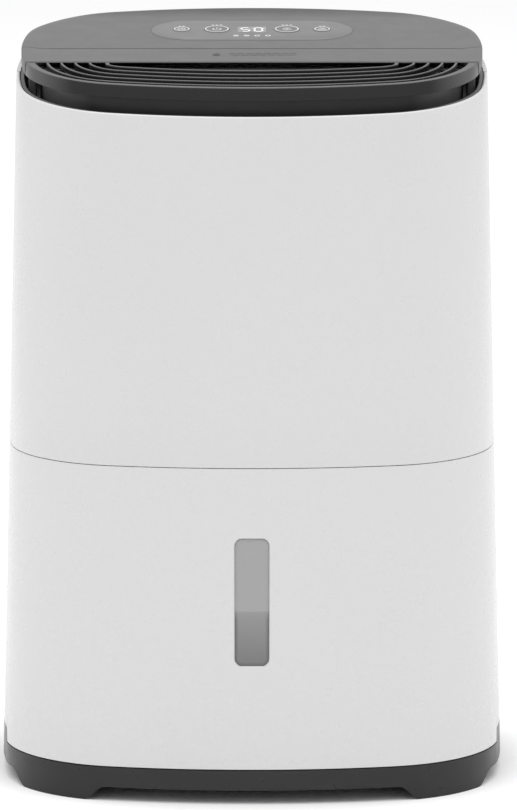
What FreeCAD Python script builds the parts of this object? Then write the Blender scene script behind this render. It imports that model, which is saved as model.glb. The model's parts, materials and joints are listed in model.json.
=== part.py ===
import FreeCAD, Part
import math
import os
import re

import Sketcher
from FreeCAD import Placement, Rotation, Vector

# A free-standing room dehumidifier. +Z is up, the front faces -Y, +X is to the
# right of somebody facing the front, and the origin is at the floor under the
# middle of the body. Lengths are millimetres and angles degrees.

SIZES = {
    # Outline of the body: an oval of front, corner and side arcs, drafted inwards.
    "body_half_width": 160.0,
    "body_half_depth": 120.0,
    "front_radius": 427.7,
    "corner_radius": 86.2,
    "side_radius": 285.4,
    "draft": 0.0247,
    "wall": 2.5,
    "fit_gap": 0.4,
    # Levels.
    "skirt_top": 21.8,
    "skirt_top_rear": 30.5,
    "skirt_flare": 0.5,
    "seam_level": 214.9,
    "tank_rear_at_floor": -41.6,
    "lip_level": 449.55,
    "cap_level": 465.19,
    "cap_tilt": 6.93,
    # Base.
    "base_floor_bottom": 12.0,
    "base_floor_top": 15.0,
    "skirt_wall": 3.0,
    "skirt_relief": 9.0,
    "foot_inner_x": 93.0,
    "foot_outer_x": 107.0,
    "foot_inner_y": 57.0,
    "foot_outer_y": 75.0,
    "pad_radius": 10.0,
    "pad_height": 4.0,
    "pad_x": 120.0,
    "pad_y": 79.5,
    "boss_radius": 13.0,
    "rail_top": 23.2,
    "rail_x": 70.0,
    "rail_width": 12.0,
    "rail_length": 46.0,
    "underside_bottom": 6.7,
    "underside_half_width": 92.0,
    "underside_half_depth": 104.0,
    "underside_wall": 2.0,
    # Tank.
    "bucket_bottom": 23.6,
    "bucket_top": 200.0,
    "bucket_wall": 2.0,
    "lid_plate": 2.5,
    "lid_inlet_half": 15.0,
    "lid_inlet_rim": 2.0,
    "nozzle_y": -30.0,
    "nozzle_length": 14.0,
    "nozzle_radius": 7.0,
    "nozzle_bore": 5.0,
    "overflow_length": 10.0,
    "spout_half_width": 14.0,
    "window_half_width": 11.0,
    "window_bottom": 88.7,
    "window_top": 170.4,
    "window_corner": 5.0,
    "window_recess": 0.7,
    "float_x": 95.0,
    "float_y": -45.0,
    "float_length": 44.0,
    "float_width": 20.0,
    "float_height": 15.0,
    "float_bottom": 168.0,
    "cage_post": 3.0,
    "magnet_radius": 4.0,
    "magnet_height": 3.0,
    # Rear housing and what is fixed to it.
    "intake_half_width": 104.0,
    "intake_bottom": 226.0,
    "intake_top": 420.0,
    "slot_height": 4.6,
    "slot_pitch": 8.4,
    "slot_columns": 5,
    "rib_width": 3.4,
    "drain_level": 160.0,
    "drain_cup_radius": 20.0,
    "drain_cup_floor": 100.0,
    "spigot_radius": 6.5,
    "spigot_length": 14.0,
    "spigot_tail_radius": 5.0,
    "spigot_bore": 4.0,
    "spigot_flange": 14.0,
    "cord_inlet_x": 80.0,
    "cord_inlet_level": 60.0,
    "cord_inlet_radius": 9.0,
    "cord_inlet_bore": 4.0,
    "screw_boss_radius": 6.5,
    "screw_head_radius": 4.0,
    "screw_shank_radius": 1.8,
    # Top.
    "cap_half_width": 146.4,
    "cap_half_depth": 104.3,
    "cap_centre_y": 4.0,
    "cap_front_radius": 405.0,
    "cap_corner_radius": 70.0,
    "cap_side_radius": 250.0,
    "cap_skirt": 8.2,
    "cap_plate": 3.0,
    "lid_front": -4.1,
    "strip_rear": -4.6,
    "strip_front": -37.3,
    "strip_plate": 4.0,
    "rim_slope": 2.6,
    "rim_side": 5.2,
    "rib_start": 5.6,
    "rib_pitch": 8.7,
    "rib_thickness": 1.8,
    "rib_count": 6,
    "neck_half_width": 134.4,
    "neck_half_depth": 99.0,
    "neck_centre_y": 2.4,
    "neck_wall": 2.4,
    "channel_floor": 34.0,
    "channel_plate": 2.4,
    "leg_inner": 136.0,
    "leg_thickness": 5.0,
    "leg_rear": -12.0,
    "leg_width": 18.0,
    "leg_bottom": 97.0,
    "leg_foot": 2.4,
    "sleeve_bottom": 60.0,
    # Control panel, on the lid.
    "panel_half_length": 64.3,
    "panel_v": 40.7,
    "panel_half_height": 24.0,
    "panel_depth": 0.6,
    "button_v": 42.5,
    "button_large_radius": 8.0,
    "button_small_radius": 5.4,
    "button_gap": 0.35,
    "button_height": 5.0,
    "button_flange": 1.2,
    "button_flange_lip": 1.2,
    "button_rise": 0.4,
    "button_edge": 0.35,
    "button_stem": 1.6,
    "display_half_width": 9.1,
    "display_half_height": 7.4,
    "display_v": 41.8,
    "icon_v": 27.0,
    "icon_radius": 1.5,
    "icon_pitch": 6.8,
    "board_drop": 9.0,
    "circuit_thickness": 1.6,
    # Air path.
    "shelf_bottom": 218.0,
    "shelf_plate": 3.0,
    "fan_level": 322.0,
    "scroll_radius": 84.0,
    "scroll_front": -90.0,
    "scroll_rear": -36.0,
    "scroll_top": 408.0,
    "scroll_wall": 2.0,
    "inlet_radius": 58.0,
    "duct_top": 434.0,
    "duct_half_width": 82.0,
    "motor_radius": 32.0,
    "motor_front": -106.0,
    "motor_rear": -79.0,
    "motor_flange_radius": 44.0,
    "motor_flange": 2.0,
    "shaft_radius": 4.0,
    "shaft_fit": 0.05,
    "impeller_radius": 74.0,
    "impeller_blades": 30,
    "blade_depth": 15.0,
    "blade_thickness": 1.4,
    "impeller_front": -85.0,
    "impeller_rear": -42.0,
    "hub_disc": 2.4,
    # Refrigeration circuit.
    "coil_half_width": 96.0,
    "coil_bottom": 244.0,
    "coil_height": 168.0,
    "fin_slot": 2.2,
    "fin_pitch": 6.0,
    "condenser_front": 44.0,
    "condenser_depth": 20.0,
    "evaporator_front": 70.0,
    "evaporator_depth": 17.0,
    "tube_radius": 3.5,
    "tube_pitch": 24.0,
    "tray_bottom": 224.0,
    "tray_height": 14.0,
    "tray_wall": 2.0,
    "compressor_x": -70.0,
    "compressor_y": 52.0,
    "compressor_radius": 46.0,
    "compressor_bottom": 34.0,
    "compressor_height": 158.0,
    "compressor_dome": 18.0,
    "accumulator_x": -4.0,
    "accumulator_y": 64.0,
    "accumulator_radius": 16.0,
    "accumulator_bottom": 60.0,
    "accumulator_height": 105.0,
    "pipe_radius": 4.0,
    # Electronics.
    "board_box_x": 36.0,
    "board_box_y": 18.0,
    "board_box_z": 40.0,
    "board_box_length": 68.0,
    "board_box_width": 62.0,
    "board_box_height": 120.0,
    "capacitor_radius": 17.0,
    "capacitor_height": 36.0,
    "parting_reed": 8.0,
}

DOC = FreeCAD.newDocument("dehumidifier")
SHEET = DOC.addObject("Spreadsheet::Sheet", "Sizes")
for row, (alias, number) in enumerate(SIZES.items(), start=1):
    SHEET.set("A%d" % row, alias)
    SHEET.set("B%d" % row, str(number))
    SHEET.setAlias("B%d" % row, alias)
DOC.recompute()

NODES = []
WORDS = re.compile(r"[a-z][a-z0-9_]*")
FAR = 400.0
X_AXIS = Vector(1, 0, 0)
# Components on the control board: x, z, width, depth and height of each.
BOARD_PARTS = (
    (8, 12, 22, 20, 26),
    (36, 16, 18, 14, 18),
    (12, 52, 14, 12, 14),
    (34, 56, 20, 18, 30),
    (10, 84, 30, 8, 16),
)
Y_AXIS = Vector(0, 1, 0)
Z_AXIS = Vector(0, 0, 1)


def size(alias):
    """A driving dimension, read from the sheet."""
    return float(SHEET.get(alias))


def expression(text):
    """The text with every alias turned into a reference to the sheet."""
    return WORDS.sub(
        lambda word: "Sizes." + word.group() if word.group() in SIZES else word.group(), str(text))


def bind(item, property_name, text):
    item.setExpression(property_name, expression(text))


def node(item, label):
    """Declare an object as a sub-part of the model."""
    item.Label = label
    NODES.append(item)
    return item


def feature(label, shape, place=None):
    """A sub-part whose shape comes from Part's own functions."""
    item = DOC.addObject("Part::Feature", label)
    item.Shape = shape
    item.Placement = place or Placement()
    return node(item, label)


def place_by(item, corner):
    for letter, text in zip("xyz", corner):
        bind(item, "Placement.Base." + letter, text)


def block(name, corner, lengths):
    """A Part box from its low corner and its three lengths, all expressions."""
    item = DOC.addObject("Part::Box", name)
    for property_name, text in zip(("Length", "Width", "Height"), lengths):
        bind(item, property_name, text)
    place_by(item, corner)
    return item


def rod(name, start, radius, length, axis=Z_AXIS):
    """A Part cylinder from the middle of its first end."""
    item = DOC.addObject("Part::Cylinder", name)
    bind(item, "Radius", radius)
    bind(item, "Height", length)
    item.Placement = Placement(Vector(), Rotation(Z_AXIS, axis))
    place_by(item, start)
    return item


def join(name, items):
    item = DOC.addObject("Part::MultiFuse", name)
    item.Shapes = items
    return item


def cut(name, base, tool):
    item = DOC.addObject("Part::Cut", name)
    item.Base = base
    item.Tool = tool
    return item


def group(name, items):
    """Several separate solids in one sub-part."""
    item = DOC.addObject("Part::Compound", name)
    item.Links = items
    return item


def body(name):
    return DOC.addObject("PartDesign::Body", name)


def sketch_on(owner, role, name):
    plane = [item for item in owner.Origin.OriginFeatures if item.Role == role][0]
    sketch = owner.newObject("Sketcher::SketchObject", name)
    sketch.AttachmentSupport = (plane, [""])
    sketch.MapMode = "FlatFace"
    return sketch


def pin_point(sketch, line, end, point):
    """Hold one end of a sketch line at a point given by two expressions."""
    for kind, text, axis in (("DistanceX", point[0], -2), ("DistanceY", point[1], -1)):
        if text == "0":
            sketch.addConstraint(Sketcher.Constraint("PointOnObject", line, end, axis))
            continue
        here = sketch.getPoint(line, end)
        value = here.x if kind == "DistanceX" else here.y
        index = sketch.addConstraint(Sketcher.Constraint(kind, -1, 1, line, end, value))
        bind(sketch, "Constraints[%d]" % index, text)


def evaluate(text):
    """The number that an expression gives with the sheet's values."""
    return float(SHEET.evalExpression(str(text)))


def outline(sketch, points):
    """A closed line through points whose coordinates are expressions."""
    flat = []
    for horizontal, vertical in points:
        flat.append(Vector(float(evaluate(horizontal)), float(evaluate(vertical)), 0))
    for index, point in enumerate(flat):
        following = flat[(index + 1) % len(flat)]
        sketch.addGeometry(Part.LineSegment(point, following), False)
    for index in range(len(flat)):
        following = (index + 1) % len(flat)
        sketch.addConstraint(Sketcher.Constraint("Coincident", index, 2, following, 1))
    for index, point in enumerate(points):
        pin_point(sketch, index, 1, point)


def turned(name, role, points):
    """A body turned about its sketch's vertical axis; x is the radius."""
    owner = body(name)
    sketch = sketch_on(owner, role, name + "_profile")
    outline(sketch, points)
    turn = owner.newObject("PartDesign::Revolution", name + "_turn")
    turn.Profile = sketch
    turn.ReferenceAxis = (sketch, ["V_Axis"])
    turn.Angle = 360.0
    DOC.recompute()
    return owner


# ---------------------------------------------------------------- oval shapes

def oval_arcs(half_width, half_depth, front, corner, side):
    """Centres and end angles of the front, corner and side arcs of an oval."""
    front_centre = Vector(0, -half_depth + front, 0)
    side_centre = Vector(half_width - side, 0, 0)
    reach_front = front - corner
    reach_side = side - corner
    between = side_centre - front_centre
    apart = between.Length
    along = (reach_front ** 2 - reach_side ** 2 + apart ** 2) / (2 * apart)
    across = math.sqrt(max(reach_front ** 2 - along ** 2, 0))
    ahead = between / apart
    aside = Vector(-ahead.y, ahead.x, 0)
    foot = front_centre + ahead * along
    corner_centre = max((foot + aside * across, foot - aside * across), key=lambda point: point.x - point.y)
    to_front = (corner_centre - front_centre).normalize()
    to_side = (corner_centre - side_centre).normalize()
    return front_centre, corner_centre, side_centre, to_front, to_side


def oval_wire(shape, inset, level, centre_y=0.0):
    """The oval, moved inwards by inset, as a closed wire at a level."""
    half_width, half_depth, front, corner, side = shape
    front_centre, corner_centre, side_centre, to_front, to_side = oval_arcs(*shape)
    joint_front = front_centre + to_front * (front - inset)
    joint_side = corner_centre + to_side * (corner - inset)
    diagonal = (to_front + to_side).normalize()
    middle = corner_centre + diagonal * (corner - inset)
    nose = Vector(0, -half_depth + inset, 0)
    hip = Vector(half_width - inset, 0, 0)

    def at(point, sign_x, sign_y):
        return Vector(point.x * sign_x, point.y * sign_y + centre_y, level)

    edges = []
    for sign_x, sign_y in ((1, 1), (1, -1), (-1, -1), (-1, 1)):
        ends = (at(joint_front, sign_x, sign_y), at(joint_side, sign_x, sign_y))
        corner_arc = Part.Arc(ends[0], at(middle, sign_x, sign_y), ends[1]).toShape()
        edges.append(corner_arc)
    for sign_x in (1, -1):
        rear_end, front_end = at(joint_side, sign_x, 1), at(joint_side, sign_x, -1)
        edges.append(Part.Arc(rear_end, at(hip, sign_x, 1), front_end).toShape())
    for sign_y in (1, -1):
        left_end, right_end = at(joint_front, -1, sign_y), at(joint_front, 1, sign_y)
        edges.append(Part.Arc(left_end, at(nose, 1, sign_y), right_end).toShape())
    return Part.Wire(Part.__sortEdges__(edges))


def oval_solid(shape, low, high, centre_y=0.0):
    """A solid between two ovals, each given as (inset, level)."""
    wires = [oval_wire(shape, low[0], low[1], centre_y), oval_wire(shape, high[0], high[1], centre_y)]
    return Part.makeLoft(wires, True, True)


def body_shape():
    names = ("body_half_width", "body_half_depth", "front_radius", "corner_radius", "side_radius")
    return tuple(size(name) for name in names)


def cap_shape():
    names = ("cap_half_width", "cap_half_depth", "cap_front_radius", "cap_corner_radius", "cap_side_radius")
    return tuple(size(name) for name in names)


def neck_shape():
    cap = cap_shape()
    drop = size("cap_half_width") - size("neck_half_width")
    return (size("neck_half_width"), size("neck_half_depth"), cap[2] - drop, cap[3] - drop, cap[4] - drop)


def body_inset(level):
    """How far the drafted wall has come in at a level."""
    return size("draft") * (level - size("skirt_top"))


def body_solid(low, high, depth=0.0):
    """The body's drafted form between two levels, its wall moved in by depth."""
    return oval_solid(body_shape(), (body_inset(low) + depth, low), (body_inset(high) + depth, high))


def cap_solid(low, high, inset=0.0):
    """An upright solid on the cap's outline."""
    return oval_solid(cap_shape(), (inset, low), (inset, high), size("cap_centre_y"))


def prism_across(points):
    """A solid across the whole width from a (y, z) outline."""
    corners = [Vector(-FAR, y, z) for y, z in points]
    face = Part.Face(Part.makePolygon(corners + corners[:1]))
    return face.extrude(Vector(2 * FAR, 0, 0))


def prism_along(points):
    """A solid along the whole depth from an (x, z) outline."""
    corners = [Vector(x, -FAR, z) for x, z in points]
    face = Part.Face(Part.makePolygon(corners + corners[:1]))
    return face.extrude(Vector(0, 2 * FAR, 0))


def solid_box(low, high):
    lengths = [high[axis] - low[axis] for axis in range(3)]
    return Part.makeBox(lengths[0], lengths[1], lengths[2], Vector(*low))


def slab(low, high):
    """The space between two planes parallel to the cap, low and high below or above it."""
    rise = math.tan(math.radians(size("cap_tilt"))) * FAR
    level = size("cap_level")
    corners = [(-FAR, level + low - rise), (FAR, level + low + rise)]
    corners += [(FAR, level + high + rise), (-FAR, level + high - rise)]
    return prism_across(corners)


def cap_place():
    """The cap's own frame: x across, y up the slope, z out of the cap."""
    return Placement(Vector(0, 0, size("cap_level")), Rotation(X_AXIS, size("cap_tilt")))


def on_cap(shape):
    moved = shape.copy()
    moved.Placement = cap_place().multiply(moved.Placement)
    return moved


def parting_y(level):
    """The slanted joint between the tank and the rear housing, at a level."""
    share = (level - size("skirt_top")) / (size("seam_level") - size("skirt_top"))
    return size("tank_rear_at_floor") * (1 - share)


def behind_parting(low, offset, high=None):
    """The space behind the slanted joint, then straight up above the seam."""
    seam = size("seam_level")
    top = high or 2 * seam + FAR
    corners = [(FAR, low), (parting_y(low) + offset, low)]
    if top > seam:
        corners += [(parting_y(seam) + offset, seam), (parting_y(seam) + offset, top)]
    else:
        corners += [(parting_y(top) + offset, top)]
    return prism_across(corners + [(FAR, top)])


def before_parting(low, high, offset):
    """The space in front of the slanted joint."""
    corners = [(-FAR, low), (parting_y(low) - offset, low), (parting_y(high) - offset, high), (-FAR, high)]
    return prism_across(corners)


def rounded_bar(half_width, low, high, corner, front, rear):
    """A bar along Y with a rounded rectangular section."""
    bar = Part.makeBox(2 * half_width, rear - front, high - low, Vector(-half_width, front, low))
    upright = [edge for edge in bar.Edges if abs(edge.tangentAt(edge.FirstParameter).y) > 0.99]
    return bar.makeFillet(corner, upright)




# ---------------------------------------------------------------------- base

def arch_outline(inner, outer, tall):
    """A low arch whose ends rise in a soft curve from the outer to the inner half width."""
    steps = 8
    ramp = []
    for index in range(steps + 1):
        share = index / steps
        ramp.append((outer + (inner - outer) * share, tall * (1 - math.cos(math.pi * share)) / 2))
    left = [(-x, level) for x, level in reversed(ramp)]
    return [(-outer, -1), (outer, -1)] + ramp + left


def make_base_pan():
    """The dark moulded base: skirt, floor, tank rails and pad bosses."""
    top, rear = size("skirt_top"), size("skirt_top_rear")
    flare, thick = size("skirt_flare"), size("skirt_wall")
    outer = oval_solid(body_shape(), (-flare, 0), (0, top))
    inner = oval_solid(body_shape(), (thick - flare, -1), (thick, top + 1))
    floor_low, floor_high = size("base_floor_bottom"), size("base_floor_top")
    skirt = outer.cut(inner)
    floor = oval_solid(body_shape(), (thick - 1, floor_low), (thick - 1, floor_high))
    step = body_solid(top, rear).cut(body_solid(top - 1, rear + 1, thick))
    step = step.common(behind_parting(top, size("fit_gap"), rear + 1))
    relief = size("skirt_relief")
    arch = prism_along(arch_outline(size("foot_inner_x"), size("foot_outer_x"), relief))
    side_arch = prism_across(arch_outline(size("foot_inner_y"), size("foot_outer_y"), relief))
    shape = skirt.cut(arch).cut(side_arch).fuse([floor, step])
    for side in (-1, 1):
        rail_low = side * size("rail_x") - size("rail_width") / 2
        front = -size("body_half_depth") + 12
        rail = Part.makeBox(size("rail_width"), size("rail_length"), size("rail_top") - floor_high,
                            Vector(rail_low, front, floor_high))
        shape = shape.fuse(rail)
        for end in (-1, 1):
            middle = Vector(side * size("pad_x"), end * size("pad_y"), size("pad_height"))
            boss = Part.makeCylinder(size("boss_radius"), floor_low - size("pad_height"), middle)
            shape = shape.fuse(boss)
    feature("base_pan", shape.removeSplitter())


def make_foot_pads():
    pads = []
    for side in (-1, 1):
        for end in (-1, 1):
            start = ("%d * pad_x" % side, "%d * pad_y" % end, "0")
            pads.append(rod("foot_pad", start, "pad_radius", "pad_height"))
    node(group("pads", pads), "foot_pads")


def make_underside_plate():
    """The cover under the base, a shallow tray that shows below the skirt."""
    low, high = size("underside_bottom"), size("base_floor_bottom")
    thick = size("underside_wall")
    half = size("underside_half_width")
    deep = size("body_half_depth") - size("underside_half_depth")
    outer = oval_solid(body_shape(), (deep / 2, low), (deep / 2, high))
    inner = oval_solid(body_shape(), (deep / 2 + thick, low + thick), (deep / 2 + thick, high + 1))
    outer = outer.common(solid_box((-half, -FAR, low), (half, FAR, high)))
    inner = inner.common(solid_box((thick - half, -FAR, low), (half - thick, FAR, high + 1)))
    feature("underside_plate", outer.cut(inner))


# ---------------------------------------------------------------------- tank

def tank_limits():
    gap = size("fit_gap")
    return size("skirt_top") + 1.5 * gap, size("seam_level") - gap


def make_tank_front():
    """The white front of the tank, with the opening for its window."""
    low, high = tank_limits()
    wall = size("wall")
    shape = body_solid(low, high).cut(body_solid(low - 1, high + 1, wall))
    shape = shape.common(before_parting(low - 1, high + 1, size("fit_gap")))
    half, gap = size("window_half_width"), size("fit_gap")
    opening = rounded_bar(half + gap, size("window_bottom") - gap, size("window_top") + gap,
                          size("window_corner"), -FAR, -size("body_half_depth") / 2)
    feature("tank_front", shape.cut(opening))


def make_tank_window():
    low, high = size("window_bottom"), size("window_top")
    recess = size("window_recess")
    skin = body_solid(low - 5, high + 5, recess).cut(body_solid(low - 6, high + 6, size("wall")))
    front_half = -size("body_half_depth") / 2
    bar = rounded_bar(size("window_half_width"), low, high, size("window_corner"), -FAR, front_half)
    feature("tank_window", skin.common(bar))


def bucket_solid(low, high, depth):
    """The tank's inner form, moved in by depth."""
    gap, wall = size("fit_gap"), size("wall")
    form = body_solid(low, high, wall + gap + depth)
    return form.common(before_parting(low - 1, high + 1, 4 * gap + wall + depth))


def make_tank_bucket():
    low, high, wall = size("bucket_bottom"), size("bucket_top"), size("bucket_wall")
    outer = bucket_solid(low, high, 0)
    feature("tank_bucket", outer.cut(bucket_solid(low + wall, high + 1, wall)))


def make_tank_lid():
    """The tank's cover: a plate with an inlet, an inner rim and a grip bridge."""
    low = size("bucket_top") + 0.2
    high = low + size("lid_plate")
    plate = bucket_solid(low, high, 0)
    half, middle = size("lid_inlet_half"), size("nozzle_y")
    reach = half + size("lid_inlet_rim")
    inlet = solid_box((-half, middle - half, low - 10), (half, middle + half, low + 10))
    collar = solid_box((-reach, middle - reach, high), (reach, middle + reach, high + 5))
    wall, gap = size("bucket_wall"), size("fit_gap")
    rim = bucket_solid(low - 5, low + 1, wall + gap).cut(bucket_solid(low - 6, low + 2, 2 * wall + gap))
    posts = []
    for side in (-1, 1):
        posts.append(Part.makeBox(6, 14, 6, Vector(side * 52 - 3, -78, high)))
    bridge = Part.makeBox(110, 14, 2.4, Vector(-55, -78, high + 6))
    finger_well = Part.makeBox(90, 34, 20, Vector(-45, -88, low - 10))
    well = Part.makeBox(94, 38, 16, Vector(-47, -90, low - 14))
    well = well.cut(Part.makeBox(90, 34, 20, Vector(-45, -88, low - 12)))
    shape = plate.fuse(rim).fuse(collar).cut(inlet).cut(finger_well).fuse(well)
    feature("tank_lid", shape.fuse(posts + [bridge]))


def make_float_parts():
    """The float with its magnet, and the cage that guides it."""
    x, y, post = "float_x - float_length / 2", "float_y - float_width / 2", "cage_post"
    shell = block("float_block", (x, y, "float_bottom"), ("float_length", "float_width", "float_height"))
    seat = rod("float_seat", ("float_x", "float_y", "float_bottom + float_height - magnet_height"),
               "magnet_radius + 0.02", "magnet_height + 1")
    node(cut("float", shell, seat), "tank_float")
    magnet = rod("magnet", ("float_x", "float_y", "float_bottom + float_height - magnet_height"),
                 "magnet_radius", "magnet_height")
    node(magnet, "float_magnet")
    posts = []
    for side_x in ("float_x - float_length / 2 - cage_post - 0.5", "float_x + float_length / 2 + 0.5"):
        for side_y in (y, "float_y + float_width / 2 - cage_post"):
            low = "float_bottom - cage_post - 0.5"
            tall = "bucket_top - float_bottom + cage_post + 0.3"
            posts.append(block("cage_post_bar", (side_x, side_y, low), (post, post, tall)))
    for side_y in (y, "float_y + float_width / 2 - cage_post"):
        start = ("float_x - float_length / 2 - cage_post - 0.5", side_y, "float_bottom - cage_post - 0.5")
        posts.append(block("cage_bar", start, ("float_length + 2 * cage_post + 1", post, post)))
    node(join("cage", posts), "float_cage")


# -------------------------------------------------------------------- shells

def make_upper_shell():
    """The white upper front of the body, cut on the slope of the cap."""
    low = size("seam_level") + size("fit_gap")
    high = size("cap_level") + 20
    shape = body_solid(low, high).cut(body_solid(low - 1, high + 1, size("wall")))
    shape = shape.common(prism_across([(-FAR, low - 1), (0, low - 1), (0, high + 1), (-FAR, high + 1)]))
    lip = size("lip_level") - size("cap_level")
    feature("upper_shell", shape.common(slab(-2 * FAR, lip)))


def screw_places():
    """Foot of each housing screw: x, y of the boss's inner end, and level."""
    places = []
    for side in (-1, 1):
        places += [(side * 122.0, 78.0, 60.0), (side * 122.0, 78.0, 205.0), (side * 100.0, 83.0, 428.0)]
    return places


def make_rear_housing():
    """The rear of the body: side bands beside the tank, intake, drain cup and screw bosses."""
    low, high, gap = size("skirt_top_rear") + size("fit_gap"), size("cap_level") + 20, size("fit_gap")
    wall = size("wall")
    outer = body_solid(low, high)
    shape = outer.cut(body_solid(low - 1, high + 1, wall)).common(behind_parting(low - 1, gap))
    half = size("intake_half_width")
    opening = solid_box((-half, 40, size("intake_bottom")), (half, FAR, size("intake_top")))
    shape = shape.cut(opening)
    for x, y, level in screw_places():
        boss = Part.makeCylinder(size("screw_boss_radius"), 60, Vector(x, y, level), Y_AXIS).common(outer)
        bore = Part.makeCylinder(size("screw_shank_radius") + 0.2, 90, Vector(x, y - 1, level), Y_AXIS)
        counterbore = Part.makeCylinder(size("screw_head_radius") + 0.4, 60, Vector(x, y + 6, level), Y_AXIS)
        shape = shape.fuse(boss).cut(bore).cut(counterbore)
    cup_floor, cup_radius = size("drain_cup_floor"), size("drain_cup_radius")
    start = Vector(0, cup_floor, size("drain_level"))
    cup = Part.makeCylinder(cup_radius, 60, start - Y_AXIS * wall, Y_AXIS).common(outer)
    shape = shape.fuse(cup)
    shape = shape.cut(Part.makeCylinder(cup_radius - wall, 60, start, Y_AXIS))
    tail_hole = size("spigot_tail_radius") + 0.3
    shape = shape.cut(Part.makeCylinder(tail_hole, 60, start - Y_AXIS * 10, Y_AXIS))
    inlet = Vector(size("cord_inlet_x"), 60, size("cord_inlet_level"))
    shape = shape.cut(Part.makeCylinder(size("cord_inlet_radius") + 0.2, 90, inlet, Y_AXIS))
    lip = size("lip_level") - size("cap_level")
    feature("rear_housing", shape.common(slab(-2 * FAR, lip)))


def make_housing_screws():
    screws = []
    for x, y, level in screw_places():
        head = Part.makeCylinder(size("screw_head_radius"), 2.2, Vector(x, y + 6.2, level), Y_AXIS)
        slot = solid_box((x - 3, y + 7.6, level - 0.5), (x + 3, y + 9, level + 0.5))
        cross = solid_box((x - 0.5, y + 7.6, level - 3), (x + 0.5, y + 9, level + 3))
        shank = Part.makeCylinder(size("screw_shank_radius"), 6.5, Vector(x, y, level), Y_AXIS)
        screws.append(head.cut(slot).cut(cross).fuse(shank))
    feature("housing_screws", Part.makeCompound(screws))


def intake_skin(depth, thick, margin):
    """A curved panel on the rear, sunk by depth, inside the intake opening."""
    low, high = size("intake_bottom") + margin, size("intake_top") - margin
    half = size("intake_half_width") - margin
    skin = body_solid(low - 9, high + 9, depth).cut(body_solid(low - 10, high + 10, depth + thick))
    return skin.common(solid_box((-half, 40, low), (half, FAR, high)))


def make_intake_grille():
    """The removable rear panel: a curved plate with rows of slots."""
    margin = size("fit_gap")
    shape = intake_skin(0.3, size("wall"), margin)
    half = size("intake_half_width") - 8
    columns, rib = int(size("slot_columns")), size("rib_width")
    column = (2 * half - (columns - 1) * rib) / columns
    low = size("intake_bottom") + 9
    rows = int((size("intake_top") - 18 - low) / size("slot_pitch"))
    slots = []
    for across in range(columns):
        left = -half + across * (column + rib)
        for row in range(rows):
            bottom = low + row * size("slot_pitch")
            slots.append(solid_box((left, 40, bottom), (left + column, FAR, bottom + size("slot_height"))))
    feature("intake_grille", shape.cut(Part.makeCompound(slots)))


def make_filter():
    """The dust filter behind the intake: a frame and the mesh that it holds."""
    frame = intake_skin(3.2, 2.2, 2.5)
    half, margin = size("intake_half_width") - 10.5, 10.5
    low, high = size("intake_bottom") + margin, size("intake_top") - margin
    window = solid_box((-half, 40, low), (half, FAR, high))
    window = window.cut(solid_box((-2, 40, low), (2, FAR, high)))
    middle = (low + high) / 2
    window = window.cut(solid_box((-half, 40, middle - 2), (half, FAR, middle + 2)))
    groove = intake_skin(4.0, 0.6, 6.5)
    feature("filter_frame", frame.cut(window).cut(groove))
    feature("filter_mesh", intake_skin(4.05, 0.5, 6.6))


def make_drain():
    """The hose spigot for continuous drainage and the plug in its bore."""
    floor, length = "drain_cup_floor", "spigot_length"
    tube = rod("spigot_tube", ("0", floor, "drain_level"), "spigot_radius", length, Y_AXIS)
    inner_end = ("0", "drain_cup_floor - 10", "drain_level")
    tail = rod("spigot_tail", inner_end, "spigot_tail_radius", "10", Y_AXIS)
    behind = ("0", "drain_cup_floor - wall - 2.2", "drain_level")
    collar = rod("spigot_collar", behind, "spigot_flange", "2", Y_AXIS)
    bore = rod("spigot_hole", ("0", "drain_cup_floor - 11", "drain_level"), "spigot_bore", "40", Y_AXIS)
    node(cut("spigot", join("spigot_body", [tube, tail, collar]), bore), "drain_spigot")
    inside = ("0", "drain_cup_floor + 4", "drain_level")
    stem = rod("plug_stem", inside, "spigot_bore - 0.05", "spigot_length - 4", Y_AXIS)
    mouth = ("0", "drain_cup_floor + spigot_length", "drain_level")
    head = rod("plug_head", mouth, "spigot_bore + 1.6", "2", Y_AXIS)
    node(join("plug", [stem, head]), "drain_plug")


def make_cord_inlet():
    """The grommet in the rear wall that a mains cord passes through."""
    start = ("cord_inlet_x", "drain_cup_floor - 3", "cord_inlet_level")
    sleeve = rod("inlet_sleeve", start, "cord_inlet_radius", "13.5", Y_AXIS)
    inner = rod("inlet_flange", start, "cord_inlet_radius + 2.5", "2", Y_AXIS)
    bore = rod("inlet_bore", ("cord_inlet_x", "60", "cord_inlet_level"), "cord_inlet_bore", "80", Y_AXIS)
    node(cut("inlet", join("inlet_body", [sleeve, inner]), bore), "cord_inlet")


# ------------------------------------------------------------------- chassis

def make_tank_bay_wall():
    """The slanted wall behind the tank, from the base floor to the shelf."""
    low, high = size("base_floor_top") + 0.2, size("shelf_bottom") - 0.2
    form = body_solid(low, high, size("wall") + 1.0)
    back = size("fit_gap") + 3.0
    corners = [(parting_y(low) + 1, low), (parting_y(high) + 1, high)]
    corners += [(parting_y(high) + back, high), (parting_y(low) + back, low)]
    feature("tank_bay_wall", form.common(prism_across(corners)))


def make_shelf():
    """The shelf over the tank bay that carries the fan, coils and tray."""
    low = size("shelf_bottom")
    high = low + size("shelf_plate")
    shape = body_solid(low, high, size("wall") + 1.0)
    shape = shape.cut(Part.makeCylinder(9, 20, Vector(0, size("nozzle_y"), low - 5)))
    for x, y in pipe_passes():
        shape = shape.cut(Part.makeCylinder(8, 20, Vector(x, y, low - 5)))
    shape = shape.cut(Part.makeCylinder(9, 20, Vector(0, 88, low - 5)))
    feature("chassis_shelf", shape)


def pipe_passes():
    return (-124.0, 34.0), (-124.0, 62.0)


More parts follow.
